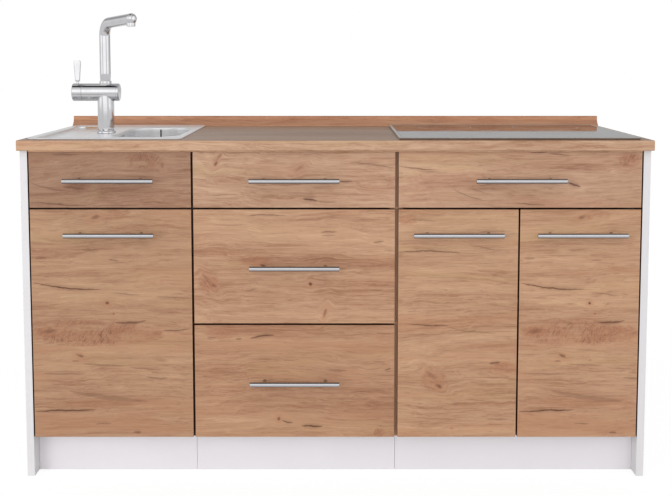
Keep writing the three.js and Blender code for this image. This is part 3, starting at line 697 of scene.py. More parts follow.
def moulded_plastic(name, colour, roughness=0.42):
    """Moulded plastic: flow marks, and a fine grain from the mould."""
    f = Finish(name, specular=0.45)
    flow = f.noise(f.place, (18, 18, 60), 3, 0.5, 0.5)
    grain = f.noise(f.place, 1300, 2, 0.5)
    f.set("Roughness", f.span(grain, 0.3, 0.7, roughness - 0.05, roughness + 0.08))
    f.bump(grain, 0.03)
    return f.coloured(f.blend(f.span(flow, 0.3, 0.7), tint(colour), tint(colour, step=-8)))


def pressed_board(name, colour):
    """Hardboard, painted on one side: matted fibres and pin-sized specks."""
    f = Finish(name, 0.62, specular=0.3)
    fibres = f.noise(f.place, (160, 160, 520), 4, 0.65, 0.8)
    f.bump(fibres, 0.08)
    shade = f.blend(f.span(fibres, 0.35, 0.65), tint(colour), tint(colour, step=-12))
    return f.coloured(f.blend(f.span(f.cells(420), 0.12, 0.05, 0, 0.35), shade, tint(colour, step=-50)))


# Each zone: its centre and its radius.
ZONES = (
    ((0.305, -0.115), 0.090),
    ((0.305, 0.125), 0.0725),
    ((0.585, -0.115), 0.0725),
    ((0.585, 0.125), 0.090),
)
ZONE_STEP = 0.006
TOUCH_MARKS = (0.33, 0.37, 0.41, 0.45, 0.49, 0.53, 0.57)
TOUCH_Y, TOUCH_RADIUS = -0.243, 0.005


def off_circle(f, centre, radius):
    """How far a point is from a circle that lies flat round a centre."""
    x, y, _ = f.apart(f.place)
    q = f.local(f.together(x, y, 0.0), (*centre, 0), (1, 1, 1))
    away = f.add("ShaderNodeVectorMath", q, operation="LENGTH").outputs["Value"]
    return f.size(f.maths("SUBTRACT", away, radius))


def glass_ceramic():
    """Black glass: fine speckle, four zones, each a ring with a fainter one inside it, and a row
    of small rings as touch marks."""
    f = Finish("black_glass")
    printed = 0.0
    for centre, radius in ZONES:
        outer = f.span(off_circle(f, centre, radius), 0.0011, 0.0007)
        inner = f.span(off_circle(f, centre, radius - ZONE_STEP), 0.0006, 0.0003, 0, 0.6)
        printed = f.most(printed, f.most(outer, inner))
    for x in TOUCH_MARKS:
        mark = f.span(off_circle(f, (x, TOUCH_Y), TOUCH_RADIUS), 0.0007, 0.0004, 0, 0.8)
        printed = f.most(printed, mark)
    dots = f.span(f.cells(900), 0.16, 0.08, 0, 0.10)
    smear = f.span(f.noise(f.place, 9, 4, 0.6), 0.3, 0.75, 0.035, 0.09)
    f.set("Roughness", f.line(printed, 0.25, smear))
    black = f.blend(dots, tint((20, 19, 19)), tint((80, 78, 76)))
    return f.coloured(f.blend(f.product(printed, 0.8), black, tint((168, 168, 166))))


# ---- The oak sheets: marks in millimetres from each front's lower left corner ----
# A crack is: along, up, half length, half width, tilt, bend, strength.
# A knot or brushed figure is: along, up, half length, half height, tilt, strength.
SINK_BLIND = {
    "cracks": [
        (91, 131, 36, 2.4, 0, 0, 0.40), (52, 48, 52, 1.8, -11, 3, 0.35), (112, 48, 30, 4.0, -6, 2, 0.42),
        (72, 8, 74, 2.0, -4, 2, 0.55), (210, 6, 60, 1.6, 1, 0, 0.35), (250, 60, 50, 1.4, 2, -2, 0.25),
    ],
    "knots": [
        (327, 104, 4, 7, 0, 0.35),
    ],
    "brushes": [
        (278, 117, 42, 20, 62, 0.75), (105, 52, 46, 14, -12, 0.30),
    ],
}
DOOR = {
    "cracks": [
        (150, 471, 24, 1.8, 2, 2, 0.35), (26, 451, 15, 3.6, 0, 0, 0.35), (204, 446, 15, 1.6, -4, 0, 0.40),
        (89, 376, 90, 2.2, -5.5, 6, 0.85), (231, 361, 42, 1.8, -5, 1, 0.35),
        (350, 352, 44, 1.8, -3, 0, 0.30), (243, 290, 42, 2.6, 3.5, 3, 0.85),
        (357, 271, 38, 2.0, 3.5, 1, 0.60), (175, 183, 52, 1.6, -3, 1, 0.45),
        (278, 174, 44, 1.6, -6, -1, 0.32), (78, 161, 56, 3.0, -1, 0, 0.30),
        (307, 150, 28, 3.0, -2, 1, 0.42), (185, 101, 104, 8.0, -8, 4, 0.28),
        (78, 68, 80, 2.4, 1.4, -1, 0.95), (172, 34, 22, 2.0, 0, 0, 0.38), (256, 12, 11, 2.2, 0, 0, 0.55),
    ],
    "knots": [
        (162, 552, 11, 5, 18, 0.60), (187, 339, 5, 4, 0, 0.85), (202, 312, 2.6, 2.2, 0, 0.70),
        (44, 269, 21, 5, 8, 0.55), (117, 207, 10, 4, -22, 0.65), (105, 193, 9, 2.4, 0, 0.50),
    ],
    "brushes": [
        (142, 264, 138, 31, 60, 0.72), (262, 262, 62, 20, 14, 0.42), (205, 557, 34, 12, 25, 0.30),
        (44, 268, 30, 14, 8, 0.45),
    ],
}
TOP_DRAWER = {
    "cracks": [
        (374, 65, 19, 2.2, -1, 0, 0.60), (287, 19, 20, 3.2, -10, 0, 0.90),
        (328, 14, 26, 1.4, -3, 1, 0.50), (72, 31, 44, 1.5, 3, 0, 0.30), (90, 24, 40, 1.2, 2, 1, 0.25),
        (439, 106, 60, 1.6, -7, -2, 0.50),
    ],
    "knots": [
        (57, 108, 7, 4, 58, 0.75), (66, 126, 11, 3.4, 55, 0.45), (262, 98, 13, 4, 38, 0.35),
    ],
    "brushes": [
        (250, 90, 26, 16, 35, 0.25),
    ],
}
MIDDLE_DRAWER = {
    "cracks": [
        (178, 270, 54, 1.8, 0, -2.5, 0.62), (332, 228, 22, 2.0, 0, 0, 0.55),
        (331, 219, 19, 1.8, 0, 0, 0.30), (454, 203, 15, 2.2, 8, 0, 0.45),
        (482, 182, 17, 1.6, -3, 0, 0.40), (140, 83, 16, 1.8, 12, 0, 0.42), (90, 245, 46, 1.6, 1, 1, 0.25),
    ],
    "knots": [
        (168, 146, 4, 3, 0, 0.70), (326, 144, 3, 2.4, 0, 0.60), (287, 99, 5, 5, 0, 0.75),
        (323, 27, 12, 4, 76, 0.60), (50, 95, 7, 4, -48, 0.70), (32, 112, 14, 4, -55, 0.40),
    ],
    "brushes": [
        (154, 156, 38, 13, -12, 0.30), (36, 106, 24, 26, -50, 0.45),
    ],
}
LOWER_DRAWER = {
    "cracks": [
        (167, 256, 32, 2.6, 8, -2, 0.85), (110, 249, 9, 2.0, 0, 0, 0.55), (43, 251, 13, 2.0, 6, 0, 0.42),
        (470, 262, 24, 1.4, -4, 0, 0.35), (350, 170, 29, 1.8, -2, 1, 0.45),
        (478, 172, 9, 2.0, 15, 0, 0.55), (409, 116, 27, 1.5, 5, 0, 0.32),
        (229, 38, 16, 2.2, -16, 2, 0.70), (291, 28, 28, 2.8, -2, 0, 0.90),
        (80, 165, 50, 1.5, -3, 2, 0.28),
    ],
    "knots": [
        (208, 47, 4, 5, 0, 0.70), (126, 158, 3, 2, 0, 0.40),
    ],
    "brushes": [
        (458, 12, 14, 11, 60, 0.45), (70, 262, 40, 12, 30, 0.25),
    ],
}
HOB_BLIND = {
    "cracks": [
        (49, 96, 52, 1.7, -6, 2, 0.60), (341, 137, 24, 2.2, -1, 0, 0.60),
        (395, 131, 28, 1.8, -3, 0, 0.50), (429, 57, 20, 3.2, -17, 0, 0.85),
        (176, 28, 46, 1.8, -20, 4, 0.35), (200, 40, 40, 1.4, -18, 3, 0.28),
        (326, 9, 38, 1.8, -5, 1, 0.55), (85, 88, 40, 1.3, -4, 0, 0.30),
    ],
    "knots": [
        (572, 124, 7, 4, 70, 0.40),
    ],
    "brushes": [
        (563, 116, 24, 18, 68, 0.55),
    ],
}
HOB_LEFT = {
    "cracks": [
        (82, 468, 84, 2.0, -1.2, -3, 0.72), (225, 474, 52, 2.0, -8, 3, 0.32),
        (77, 283, 54, 2.0, -2, 1, 0.75), (180, 268, 70, 1.8, -8, 4, 0.30),
        (243, 188, 15, 2.8, 10, 0, 0.70), (251, 46, 28, 1.8, 0, 0, 0.36), (60, 545, 40, 2.2, -6, 1, 0.28),
    ],
    "knots": [
        (105, 130, 8, 5, -30, 0.65), (84, 158, 14, 5, -45, 0.40), (137, 23, 4, 3, 0, 0.45),
    ],
    "brushes": [
        (92, 148, 30, 30, -46, 0.45), (268, 178, 34, 14, -15, 0.30), (24, 546, 24, 12, 20, 0.30),
    ],
}

# Each front: its body, its marks, the tone, squeeze and shift of its sheet, and how its brightness fades as
# painted light and shade:
# way, from, to (millimetres from its corner), low, high. The tones are partly the print's own and partly
# painted shade, darker on the fronts at the left.
FRONTS = {
    "sink_blind_front": dict(
        body="root", marks=SINK_BLIND, tone=(0.845, 0.82, 0.83), shift=0.31,
        painted_light_fades=[("x", 60, 320, 0.985, 1.09), ("z", 15, 75, 1.06, 0.98)],
    ),
    "sink_door": dict(
        body="sink_door_leaf", marks=DOOR, tone=(0.935, 0.915, 0.90),
        painted_light_fades=[("x", 60, 390, 1.0, 1.03)],
    ),
    "hob_right_door": dict(
        body="hob_right_door_leaf", marks=DOOR, tone=(0.99, 0.97, 0.96), squeeze=0.93,
        painted_light_fades=[("z", 100, 500, 1.0, 1.045)],
    ),
    "hob_left_door": dict(
        body="hob_left_door_leaf", marks=HOB_LEFT, tone=(1.0, 0.99, 0.98), shift=0.52,
        painted_light_fades=[("z", 60, 520, 1.0, 1.03)],
    ),
    "hob_blind_front": dict(
        body="root", marks=HOB_BLIND, tone=(1.01, 1.01, 1.04), shift=0.77,
        painted_light_fades=[("x", 60, 560, 1.03, 0.99), ("z", 55, 125, 0.985, 1.045)],
    ),
    "top_drawer_front": dict(
        body="top_drawer", marks=TOP_DRAWER, tone=(1.01, 1.02, 1.05), shift=0.16,
        painted_light_fades=[("x", 0, 460, 0.985, 1.055)],
    ),
    "middle_drawer_front": dict(
        body="middle_drawer", marks=MIDDLE_DRAWER, tone=(0.99, 0.975, 0.97), shift=0.93,
        painted_light_fades=[("x", 100, 460, 1.0, 1.05)],
    ),
    "lower_drawer_front": dict(
        body="lower_drawer", marks=LOWER_DRAWER, tone=(0.955, 0.92, 0.90), shift=0.66,
    ),
}
# How far an upright edge stands back from its node's, by how far the edge is from the middle,
# both in millimetres. It is most between the drawers' cabinet and the hob's.
JOINT_INSETS = {748.4: 1.5, 351.6: 1.0, 348.4: 1.0, 148.4: 2.6, 151.6: 2.6}
OTHER_INSET = 0.5
TOP_ROW = 0.8  # the fronts that end above this height meet the worktop

set_camera()
set_world()
set_floor()
set_lamp("key", (-2.6, -3.4, 0.75), (0, 0, 0.45), (1.6, 1.3), 25)

# The worktop's top is painted darker where it looks up: painted shade.
oak_top = oak("oak_worktop", tone=(1.05, 1.08, 1.12), roughness=0.36, shift=0.21, top=(0.60, 0.58, 0.585))
# Lighter tone: painted light, cancelling the shade that falls under the worktop's overhang.
oak_under_painted_light = oak("oak_under_edge", tone=(1.17, 1.20, 1.24), shift=0.21)
# Painted shade on the strip's hollow face, darker where it looks up.
strip_painted_shade = dict(top=(0.74, 0.75, 0.77), upward=(0.02, 0.45))
oak_strip = oak("oak_strip", tone=(1.08, 1.01, 0.99), roughness=0.45, shift=0.44, **strip_painted_shade)
white_board = coated_board("white_board", (231, 228, 232))
inner_board = coated_board("inner_board", INNER_WHITE, 0.5)
cabinet_board = banded_board()
panel_board = backed_board()
back_board = pressed_board("back_board", (214, 208, 199))
handle_steel = satin_bar()
sink_steel = brushed_metal("sink_steel", (244, 244, 245), 0.27, (900, 30, 900), 0.010, 0.03, metal=0.82)
frame_steel = brushed_metal("frame_steel", (198, 196, 194), 0.24, (40, 1500, 1500), 0.012)
casing_steel = brushed_metal("casing_steel", (176, 178, 180), 0.42, (20, 900, 900), 0.02)
black_glass = glass_ceramic()
chrome = polished_chrome()
zinc = zinc_plate()
grey_plastic = moulded_plastic("grey_plastic", (186, 187, 186))
white_plastic = moulded_plastic("white_plastic", (226, 226, 224), 0.38)
black_rubber = moulded_plastic("black_rubber", (34, 33, 33), 0.7)


# ---- Fronts ----
def edge_inset(x):
    return JOINT_INSETS.get(round(abs(x) / MM, 1), OTHER_INSET) * MM


def front(node, body, marks, tone, squeeze=1.0, shift=0.0, painted_light_fades=()):
    """A board of its own oak sheet, drawn in a little from the edges of its node."""
    low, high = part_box(node)
    finish = oak("oak_" + node, (low.x, low.z), squeeze, tone, 0.46, shift, painted_light_fades=painted_light_fades, gap_shade_edging=True, **marks)
    under_top = 0 if high.z > TOP_ROW else OTHER_INSET * MM
    start = (low.x + edge_inset(low.x), low.y, low.z + OTHER_INSET * MM)
    end = (high.x - edge_inset(high.x), high.y, high.z - under_top)
    piece(node + "_panel", slab(start, end, 0.4, 0.6, "y"), finish, node, body)


for node, look in FRONTS.items():
    front(node, **look)

# ---- Handles ----
BAR_RADIUS = 6
BAR_HALF = 110
POST_X = 75


def handle(node, body):
    """A rod along X, and two turned posts that swell a little where they meet the front."""
    low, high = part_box(node)
    middle = np.array([(low.x + high.x) / 2, low.y + BAR_RADIUS * MM, (low.z + high.z) / 2])
    bar = rod(middle, BAR_RADIUS, -BAR_HALF, BAR_HALF, 1.6, "x", 40)
    foot = (high.y - low.y) / MM - BAR_RADIUS
    post = [(4.4, 2), (4.4, foot - 3.2), (4.5, foot - 2.2), (4.8, foot - 1.4), (4.9, foot - 0.6), (4.9, foot)]
    posts = [turned(post, middle + np.array([x * MM, 0, 0]), "y", 32) for x in (-POST_X, POST_X)]
    piece(node + "_bar", [bar, *posts], handle_steel, node, body)


for node, look in FRONTS.items():
    handle(node.replace("_drawer_front", "_drawer") + "_handle", look["body"])

# ---- Worktop and wall strip ----
# Each cut-out, the sink's and the hob's: left, right, front, back.
CUTOUTS = [(-0.744, -0.398, -0.228, 0.238), (0.172, 0.728, -0.238, 0.230)]
FRONT_RADIUS = 3 * MM
END_EDGE = 0.5 * MM
FLAT = 1e-6
UNDER_EDGE_X, UNDER_EDGE_Y = 0.7484, (-0.2743, -0.2625)
UNDER_EDGE_HEIGHT = 3.7 * MM


def worktop_outline(low, high, breaks):
    """The worktop's section in Y and Z, from the back's foot round the rounded front edge."""
    r = FRONT_RADIUS
    under = arc((low.y + r, low.z + r), -r, -r, 6)
    over = arc((low.y + r, high.z - r), -r, r, 6)[::-1]
    foot = [(value, low.z) for value in (high.y, *breaks[::-1])]
    top = [(value, high.z) for value in (*breaks, high.y)]
    return np.concatenate([foot, under, over, top])


def worktop():
    """A rounded outline carried along X. Faces over the two cut-outs are left out, and the
    walls of the cut-outs are filled in between the two sides."""
    low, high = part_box("worktop")
    breaks = sorted({value for cutout in CUTOUTS for value in cutout[2:]})
    sides = sorted({value for cutout in CUTOUTS for value in cutout[:2]})
    stations = np.array([low.x, low.x + END_EDGE, *sides, high.x - END_EDGE, high.x])
    loop = worktop_outline(low, high, breaks)
    middle = np.array([(low.y + high.y) / 2, (low.z + high.z) / 2])
    shrink = 1 - END_EDGE / (np.array([high.y - low.y, high.z - low.z]) / 2)
    end = middle + (loop - middle) * shrink
    outlines = [end, *[loop] * (len(stations) - 2), end]
    points, faces = along(skin([flat(outline, x) for outline, x in zip(outlines, stations)]), "x")
    quads, caps = np.array(faces[:-2]), faces[-2:]
    x, y, z = points[quads].mean(axis=1).T
    level = (np.abs(z - low.z) < FLAT) | (np.abs(z - high.z) < FLAT)
    kept = np.ones(len(quads), bool)
    walls = []
    for x0, x1, y0, y1 in CUTOUTS:
        kept &= ~(level & (x > x0) & (x < x1) & (y > y0) & (y < y1))
        across = [value for value in stations if x0 <= value <= x1]
        down = [value for value in breaks if y0 <= value <= y1]
        edge = rim(np.stack(np.meshgrid(across, down), -1))
        walls.append(skin([flat(edge, low.z), flat(edge, high.z)], False, False))
    return [(points, quads[kept].tolist() + caps), *walls]


def wall_strip():
    """The strip's section carried along X: a toe, a hollow face that falls away as a quarter of
    a sine wave to the power 1.6, and a rounded top."""
    low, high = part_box("wall_strip")
    t = np.linspace(0, 1, 15)
    depth = 10.8 + 13.2 * (1 - np.sin(t * TURN / 4)) ** 1.6
    face = np.column_stack([high.y - depth * MM, low.z + (3.2 + 22.3 * t) * MM])
    toe = np.array([(low.y, low.z), (low.y, low.z + 2.2 * MM), (low.y + 0.4 * MM, low.z + 2.9 * MM)])
    y, z = face[-1]
    top = arc((y + 2.5 * MM, z), -2.5 * MM, high.z - z, 5)[::-1][1:]
    section = np.concatenate([toe, face, top, [(high.y, high.z), (high.y, low.z)]])
    return extruded(section, "x", (low.x, high.x))


def under_edge():
    """A strip under the worktop's front, that closes the gap over the top fronts."""
    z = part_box("worktop")[0].z
    start = (-UNDER_EDGE_X, UNDER_EDGE_Y[0], z - UNDER_EDGE_HEIGHT)
    return slab(start, (UNDER_EDGE_X, UNDER_EDGE_Y[1], z), 0.2, 0.4)


piece("worktop_board", worktop(), oak_top, "worktop")
piece("worktop_under_edge", under_edge(), oak_under_painted_light)
piece("wall_strip_profile", wall_strip(), oak_strip, "wall_strip", sharp=50)

# ---- White boards ----
CABINETS = ("sink", "drawer", "hob")
PLINTH_INSET = 0.3 * MM
for node in ("end_panel_left", "end_panel_right"):
    piece(node + "_board", slab(*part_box(node), 0.5, 0.5, "x"), panel_board, node)
for label in CABINETS:
    node = label + "_plinth"
    low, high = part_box(node)
    inner = [(low.x + PLINTH_INSET, low.y, low.z), (high.x - PLINTH_INSET, high.y, high.z)]
    piece(node + "_board", slab(*inner, 0.6, 0.6, "y"), white_board, node)

# ---- Sink ----
# An outline is its sides in X, its sides in Y, and the radius of its corners.
SHEET = ((-0.758, -0.378), (-0.2555, 0.2695), 0.018)
DRAINER = ((-0.742, -0.638), (-0.2295, 0.2395), 0.026)
BOWL = ((-0.572, -0.402), (-0.1985, 0.1875), 0.075)
DRAIN = np.array([-0.487, -0.0055])
TAP = np.array([-0.605, -0.0405])
DECK = 0.843
TAP_HOLE = 18 * MM
SHEET_THICKNESS = 0.8 * MM
RIBS_X, RIBS_Y = (-0.722, -0.658), (-0.198, 0.208)
RIB_FOOT, RIB_HEIGHT, RIB_FADE = 0.835, 0.0016, 0.03
RIB_WAVES = 2.5


def grown(outline, by):
    """An outline of the sink, let out by a distance: its box and its corner radius both grow."""
    (x0, x1), (y0, y1), radius = outline
    return ring((x0 - by, x1 + by), (y0 - by, y1 + by), max(radius + by, LEAST_RADIUS), 10, 8)


def filled(loops, height):
    """A flat sheet between an outer loop and the loops of its holes, as triangles."""
    ends = np.cumsum([len(loop) for loop in loops])
    numbers = [np.arange(end - len(loop), end) for loop, end in zip(loops, ends)]
    edges = np.concatenate([np.column_stack([np.roll(number, 1), number]) for number in numbers])
    mesh = bpy.data.meshes.new("outline")
    mesh.from_pydata(flat(np.concatenate(loops), height).tolist(), edges.tolist(), [])
    work = bmesh.new()
    work.from_mesh(mesh)
    bmesh.ops.triangle_fill(work, use_beauty=True, use_dissolve=False, edges=work.edges[:], normal=(0, 0, 1))
    work.verts.index_update()
    points = np.array([corner.co[:] for corner in work.verts])
    faces = [[corner.index for corner in face.verts] for face in work.faces]
    work.free()
    bpy.data.meshes.remove(mesh)
    return points, faces


def bands(profile, outline):
    """Rings of the sheet: the outline let out by each distance, at each height (millimetres)."""
    return [flat(grown(outline, by * MM), height * MM) for by, height in profile]


def rolled_rim():
    """The sheet's outer edge: up from the worktop, over, and gently down to the deck."""
    section = [
        (0, 841.1), (0, 842.6), (-0.5, 843.7), (-1.6, 844.5), (-3.2, 844.8),
        (-5, 844.7), (-7.5, 844.1), (-10, 843.4), (-12, 843.05), (-14, 843),
    ]
    return skin(bands(section, SHEET), False, False)


def bowl():
    """Walls that turn over the deck's edge and into the floor as quarter circles, and a floor
    whose corners draw in to the round dish of the drain."""
    over = arc((5, 838), -5, 5, 6)
    foot = arc((-18, 711), 18, -18, 6)[::-1]
    rings = bands([(7, 843), *over, (0, 834), (0, 800), (0, 740), *foot], BOWL)
    away = grown(BOWL, -18 * MM) - DRAIN
    away /= np.linalg.norm(away, axis=1, keepdims=True)
    for radius, height in [(56, 692.9), (52, 692.4), (49, 692.2), (42.2, 692.2), (41.6, 691.4)]:
        rings.append(flat(DRAIN + away * radius * MM, height * MM))
    return skin(rings, False, False)


def drainer_wall():
    """The drainer's low wall, turned over the deck's edge and into its floor."""
    lip = arc((3, 840), -3, 3, 6)
    foot = arc((-4, 839), 4, -4, 6)[::-1]
    return skin(bands([(5, 843), *lip, *foot], DRAINER), False, False)


def drainer_floor():
    """The drainer's floor: a grid whose height is the upper halves of sine waves across, which
    fade out towards both ends, and the flat border between it and the drainer's wall."""
    across, down = np.meshgrid(np.linspace(*RIBS_X, 41), np.linspace(*RIBS_Y, 60))
    fade = np.clip(np.minimum(down - RIBS_Y[0], RIBS_Y[1] - down) / RIB_FADE, 0, 1)
    fade = fade * fade * (3 - 2 * fade)
    share = (across - RIBS_X[0]) / (RIBS_X[1] - RIBS_X[0])
    wave = np.maximum(np.sin(share * TURN * RIB_WAVES), 0)
    height = RIB_FOOT + RIB_HEIGHT * wave * fade
    ribs = np.stack([across, down, height], -1).reshape(-1, 3), lattice(*across.shape, False, False).tolist()
    edge = rim(np.stack([across, down], -1))
    return [ribs, filled([grown(DRAINER, -4 * MM), edge], RIB_FOOT)]


def sink():
    """One pressed sheet: a rolled rim, a flat deck with a hole for the tap, a bowl, a drainer."""
    loops = [grown(SHEET, -14 * MM), grown(DRAINER, 5 * MM), grown(BOWL, 7 * MM), TAP + TAP_HOLE * circle(36)]
    return [rolled_rim(), filled(loops, DECK), bowl(), drainer_wall(), *drainer_floor()]


def upward(thing):
    """Turns an open sheet over if its largest face looks down."""
    mesh = thing.data
    largest = max(mesh.polygons, key=lambda face: face.area * abs(face.normal.z))
    if largest.normal.z < 0:
        mesh.flip_normals()
    return thing


def overflow():
    """Ways out near the top of the bowl: a plate with five slots on its left wall, and one
    upright slot in its rear wall."""
    left, rear = BOWL[0][0], BOWL[1][1]
    plate = slab((left + 0.1 * MM, -0.070, 0.817), (left + 0.9 * MM, 0.036, 0.836), 0.3, 9, "x")
    slots = [
        slab((left + 0.8 * MM, y - 3 * MM, 0.8195), (left + 1.05 * MM, y + 3 * MM, 0.8335), 0.1, 2.9, "x", 2)
        for y in np.linspace(-0.056, 0.022, 5)
    ]
    rear_slot = slab((-0.4995, rear - 0.9 * MM, 0.806), (-0.4955, rear - 0.05 * MM, 0.8365), 0.1, 1.9, "y", 2)
    piece("overflow_plate", plate, sink_steel)
    piece("overflow_slots", slots, black_rubber)
    piece("rear_overflow_slot", rear_slot, black_rubber)


sheet = upward(piece("sink_sheet", sink(), sink_steel, "sink_basin", sharp=60))
wall = sheet.modifiers.new("sheet_thickness", "SOLIDIFY")
wall.thickness = SHEET_THICKNESS
wall.offset = -1
overflow()

# ---- Waste and strainer ----
OUTLET_Z = 0.5735
OUTLET_Y = (0.026, 0.2533)
OUTLET_RADIUS = 0.020
SPOKES = 16
STRAINER_FLOOR = (0.6599, 0.6613)


def at_drain(profile, sides=56, capped=True):
    return turned(profile, (*DRAIN, 0), "z", sides, capped)


def flange():
    section = [
        (36, 690), (41.9, 690), (44.6, 692.3), (45, 693.2), (44.4, 693.9), (43, 694.1),
        (41, 693.7), (39.9, 692.6), (39.6, 690.2), (39.5, 684), (36, 684),
    ]
    return at_drain(section, 64, False)


def waste_cup():
    section = [
        (41.6, 691.2), (47.4, 691.2), (48, 690.6), (48, 672), (47.2, 668), (44, 661), (40, 657.6),
        (34, 655.7), (21, 655.5), (21, 654), (16, 654), (16, 659.5), (39.5, 659.5), (41.4, 662),
        (41.6, 691.2),
    ]
    return at_drain(section, 64, False)


def bottle():
    section = [
        (0.5, 499.6), (26, 499.6), (30, 500.2), (33.6, 502.4), (35.4, 506), (36, 511), (36, 536), (34.8, 537),
        (34.8, 539), (36, 540), (36, 588), (35, 595), (31, 600.5), (25, 603.4), (0.5, 603.4),
    ]
    return at_drain(section)


def outlet():
    """A straight pipe from the trap towards the wall."""
    path = np.array([(DRAIN[0], y, OUTLET_Z) for y in np.linspace(*OUTLET_Y, 24)])
    return swept(path, np.full(len(path), OUTLET_RADIUS), (1, 0, 0), 40)


def ribbed_nut(radius, low, high, ribs=28):
    """A screw nut: its radius rises and falls ribs times round, between two smooth collars."""
    wave = np.where(np.arange(ribs * 4) % 4 < 2, 0.9, 0.0)
    rings = []
    for share, height in [(0, low), (1, low + 2), (1, high - 2), (0, high)]:
        reach = (radius - 1.2 + share * (0.3 + wave)) * MM
        rings.append(flat(DRAIN + reach[:, None] * circle(ribs * 4), height * MM))
    return skin(rings)


def ring_nut():
    section = [(20.4, 30.6), (26, 30.6), (27, 31.6), (27, 46), (26, 47), (20.4, 47)]
    return turned(section, (DRAIN[0], DRAIN[1], OUTLET_Z), "y", 48, False)


def strainer():
    """A turned cup, its floor a ring of holes: spokes and bands of floor between hub and wall."""
    wall = [
        (31.6, 659.9), (36, 660.9), (38.2, 663.4), (39, 667), (39, 681.2), (38.6, 681.7), (37.9, 681.7),
        (37.5, 681.2), (37.5, 667.6), (36.8, 664.6), (34.8, 662.2), (31.6, 661.4), (31.6, 659.9),
    ]
    hub = [
        (9, 659.9), (10, 659.9), (10, 661.4), (4, 661.4), (3.6, 662.2), (3.4, 672), (3.8, 673.4),
        (6, 675), (6.5, 676.4), (6.5, 680.6), (5.6, 681.6), (2, 681.8),
    ]
    spokes = []
    for ahead in circle(SPOKES):
        side = np.array([-ahead[1], ahead[0]])
        plan = [end * ahead + half * side for end, half in ((9.5, -0.55), (32, -1.6), (32, 1.6), (9.5, 0.55))]
        spokes.append(extruded(DRAIN + np.array(plan) * MM, "z", STRAINER_FLOOR))
    bands = [
        at_drain([(r - 1, 660), (r + 1, 660), (r + 1, 661.3), (r - 1, 661.3), (r - 1, 660)], 56, False)
        for r in (15, 21, 27)
    ]
    return [at_drain(wall, 56, False), at_drain(hub, 40), *spokes, *bands]


tail = at_drain([(16, 600), (20, 600), (20, 655.4), (16, 655.4), (16, 600)], 48, False)
nuts = [ribbed_nut(27, 603.6, 619), ribbed_nut(27, 640, 654.8), ring_nut()]
piece("waste_flange", flange(), sink_steel)
piece("waste_cup", waste_cup(), grey_plastic, "sink_waste")
piece("waste_tail", tail, white_plastic)
piece("trap_bottle", bottle(), white_plastic)
piece("trap_outlet", outlet(), white_plastic)
piece("waste_nuts", nuts, grey_plastic, closed=False)
piece("strainer_cup", strainer(), sink_steel, "strainer_basket", "basket")

# ---- Tap ----
TAP_FOOT = (*TAP, 0)
BODY_Z = 0.950
CAP_X = (-0.6913, -0.6653)
CAP_RADIUS = 23
LEVER_X = (CAP_X[0] + CAP_X[1]) / 2
SLOT_X = (LEVER_X - 0.01045, LEVER_X + 0.0038)
SLOT_HALF = 3.8
SLOT_FLOOR = BODY_Z - 0.003
SPOUT_RADIUS = 0.014
SPOUT_FOOT, SPOUT_TOP = 0.9803, 1.131
SPOUT_BEND, SPOUT_REACH = 0.034, 0.178
SPOUT_SLOPE, SPOUT_FACE = math.radians(2.5), math.radians(-55)
WATER_REACH = 0.165
AHEAD = np.array([math.cos(SPOUT_FACE), math.sin(SPOUT_FACE)])


def tap_column():
    section = [
        (16, 843.05), (24.4, 843.05), (25, 843.6), (25, 846.2), (24.3, 847.4), (22.9, 848),
        (21.9, 848.3), (21.5, 849.2), (21.5, 940), (20, 948),
    ]
    return turned(section, TAP_FOOT, "z", 64)


def tap_arm():
    """The body that lies across, with a groove where its last part is screwed on."""
    section = [
        (21.4, -60), (22.6, -59.8), (23, -59.2), (23, 29.6), (22.6, 29.9), (22.6, 30.3),
        (23, 30.6), (23, 34.2), (22.5, 35.6), (21.2, 36.7), (19.6, 37),
    ]
    return turned(section, (*TAP, BODY_Z), "x", 72)


def tap_shank():
    """A threaded pipe: its radius goes back and forth every 1.5 mm."""
    i = np.arange(1, 34)
    thread = np.column_stack([np.where(i % 2, 16, 15.2), 781 + i * 1.5])
    return turned([(16, 781), *thread, (16, 833)], TAP_FOOT, "z", 40)


def tap_nut():
    """A hexagon with its corners cut back a little at both faces."""
    shares = [(0.93, 833.1), (1, 834), (1, 840), (0.95, 840.9)]
    return skin([flat(TAP + 26 * MM * share * circle(6), height * MM) for share, height in shares])


def tap_cap():
    """A turned cap with a slot: the faces over the slot are left out, and walls go down from
    the edge of the gap to the slot's flat floor. Its section is radii and places in X."""
    x0, x1 = CAP_X
    half = math.asin(SLOT_HALF / CAP_RADIUS)
    angle = np.concatenate([np.linspace(-half, half, 5), np.linspace(half, TURN - half, 66)[1:-1]])
    section = [(18, x0), (20.6, x0 + 0.0002), (22.3, x0 + 0.0012), (CAP_RADIUS, x0 + 0.0028)]
    section += [(CAP_RADIUS, x) for x in np.linspace(*SLOT_X, 5)]
    section += [(CAP_RADIUS, x1 - 0.0006), (22.6, x1 - 0.0001), (21.6, x1)]
    around = np.column_stack([np.sin(angle), np.cos(angle)]) * MM
    rings = [flat((TAP[1], BODY_Z) + radius * around, x) for radius, x in section]
    points, faces = along(skin(rings), "x")
    grid = points.reshape(len(section), len(angle), 3)
    gap = np.arange(4, 8)[:, None] * len(angle) + np.arange(4)
    kept = np.setdiff1d(np.arange(len(faces)), gap)
    edge = rim(grid[4:9, :5].transpose(1, 0, 2))
    return [(points, [faces[i] for i in kept]), skin([edge, flat(edge[:, :2], SLOT_FLOOR)], False)]


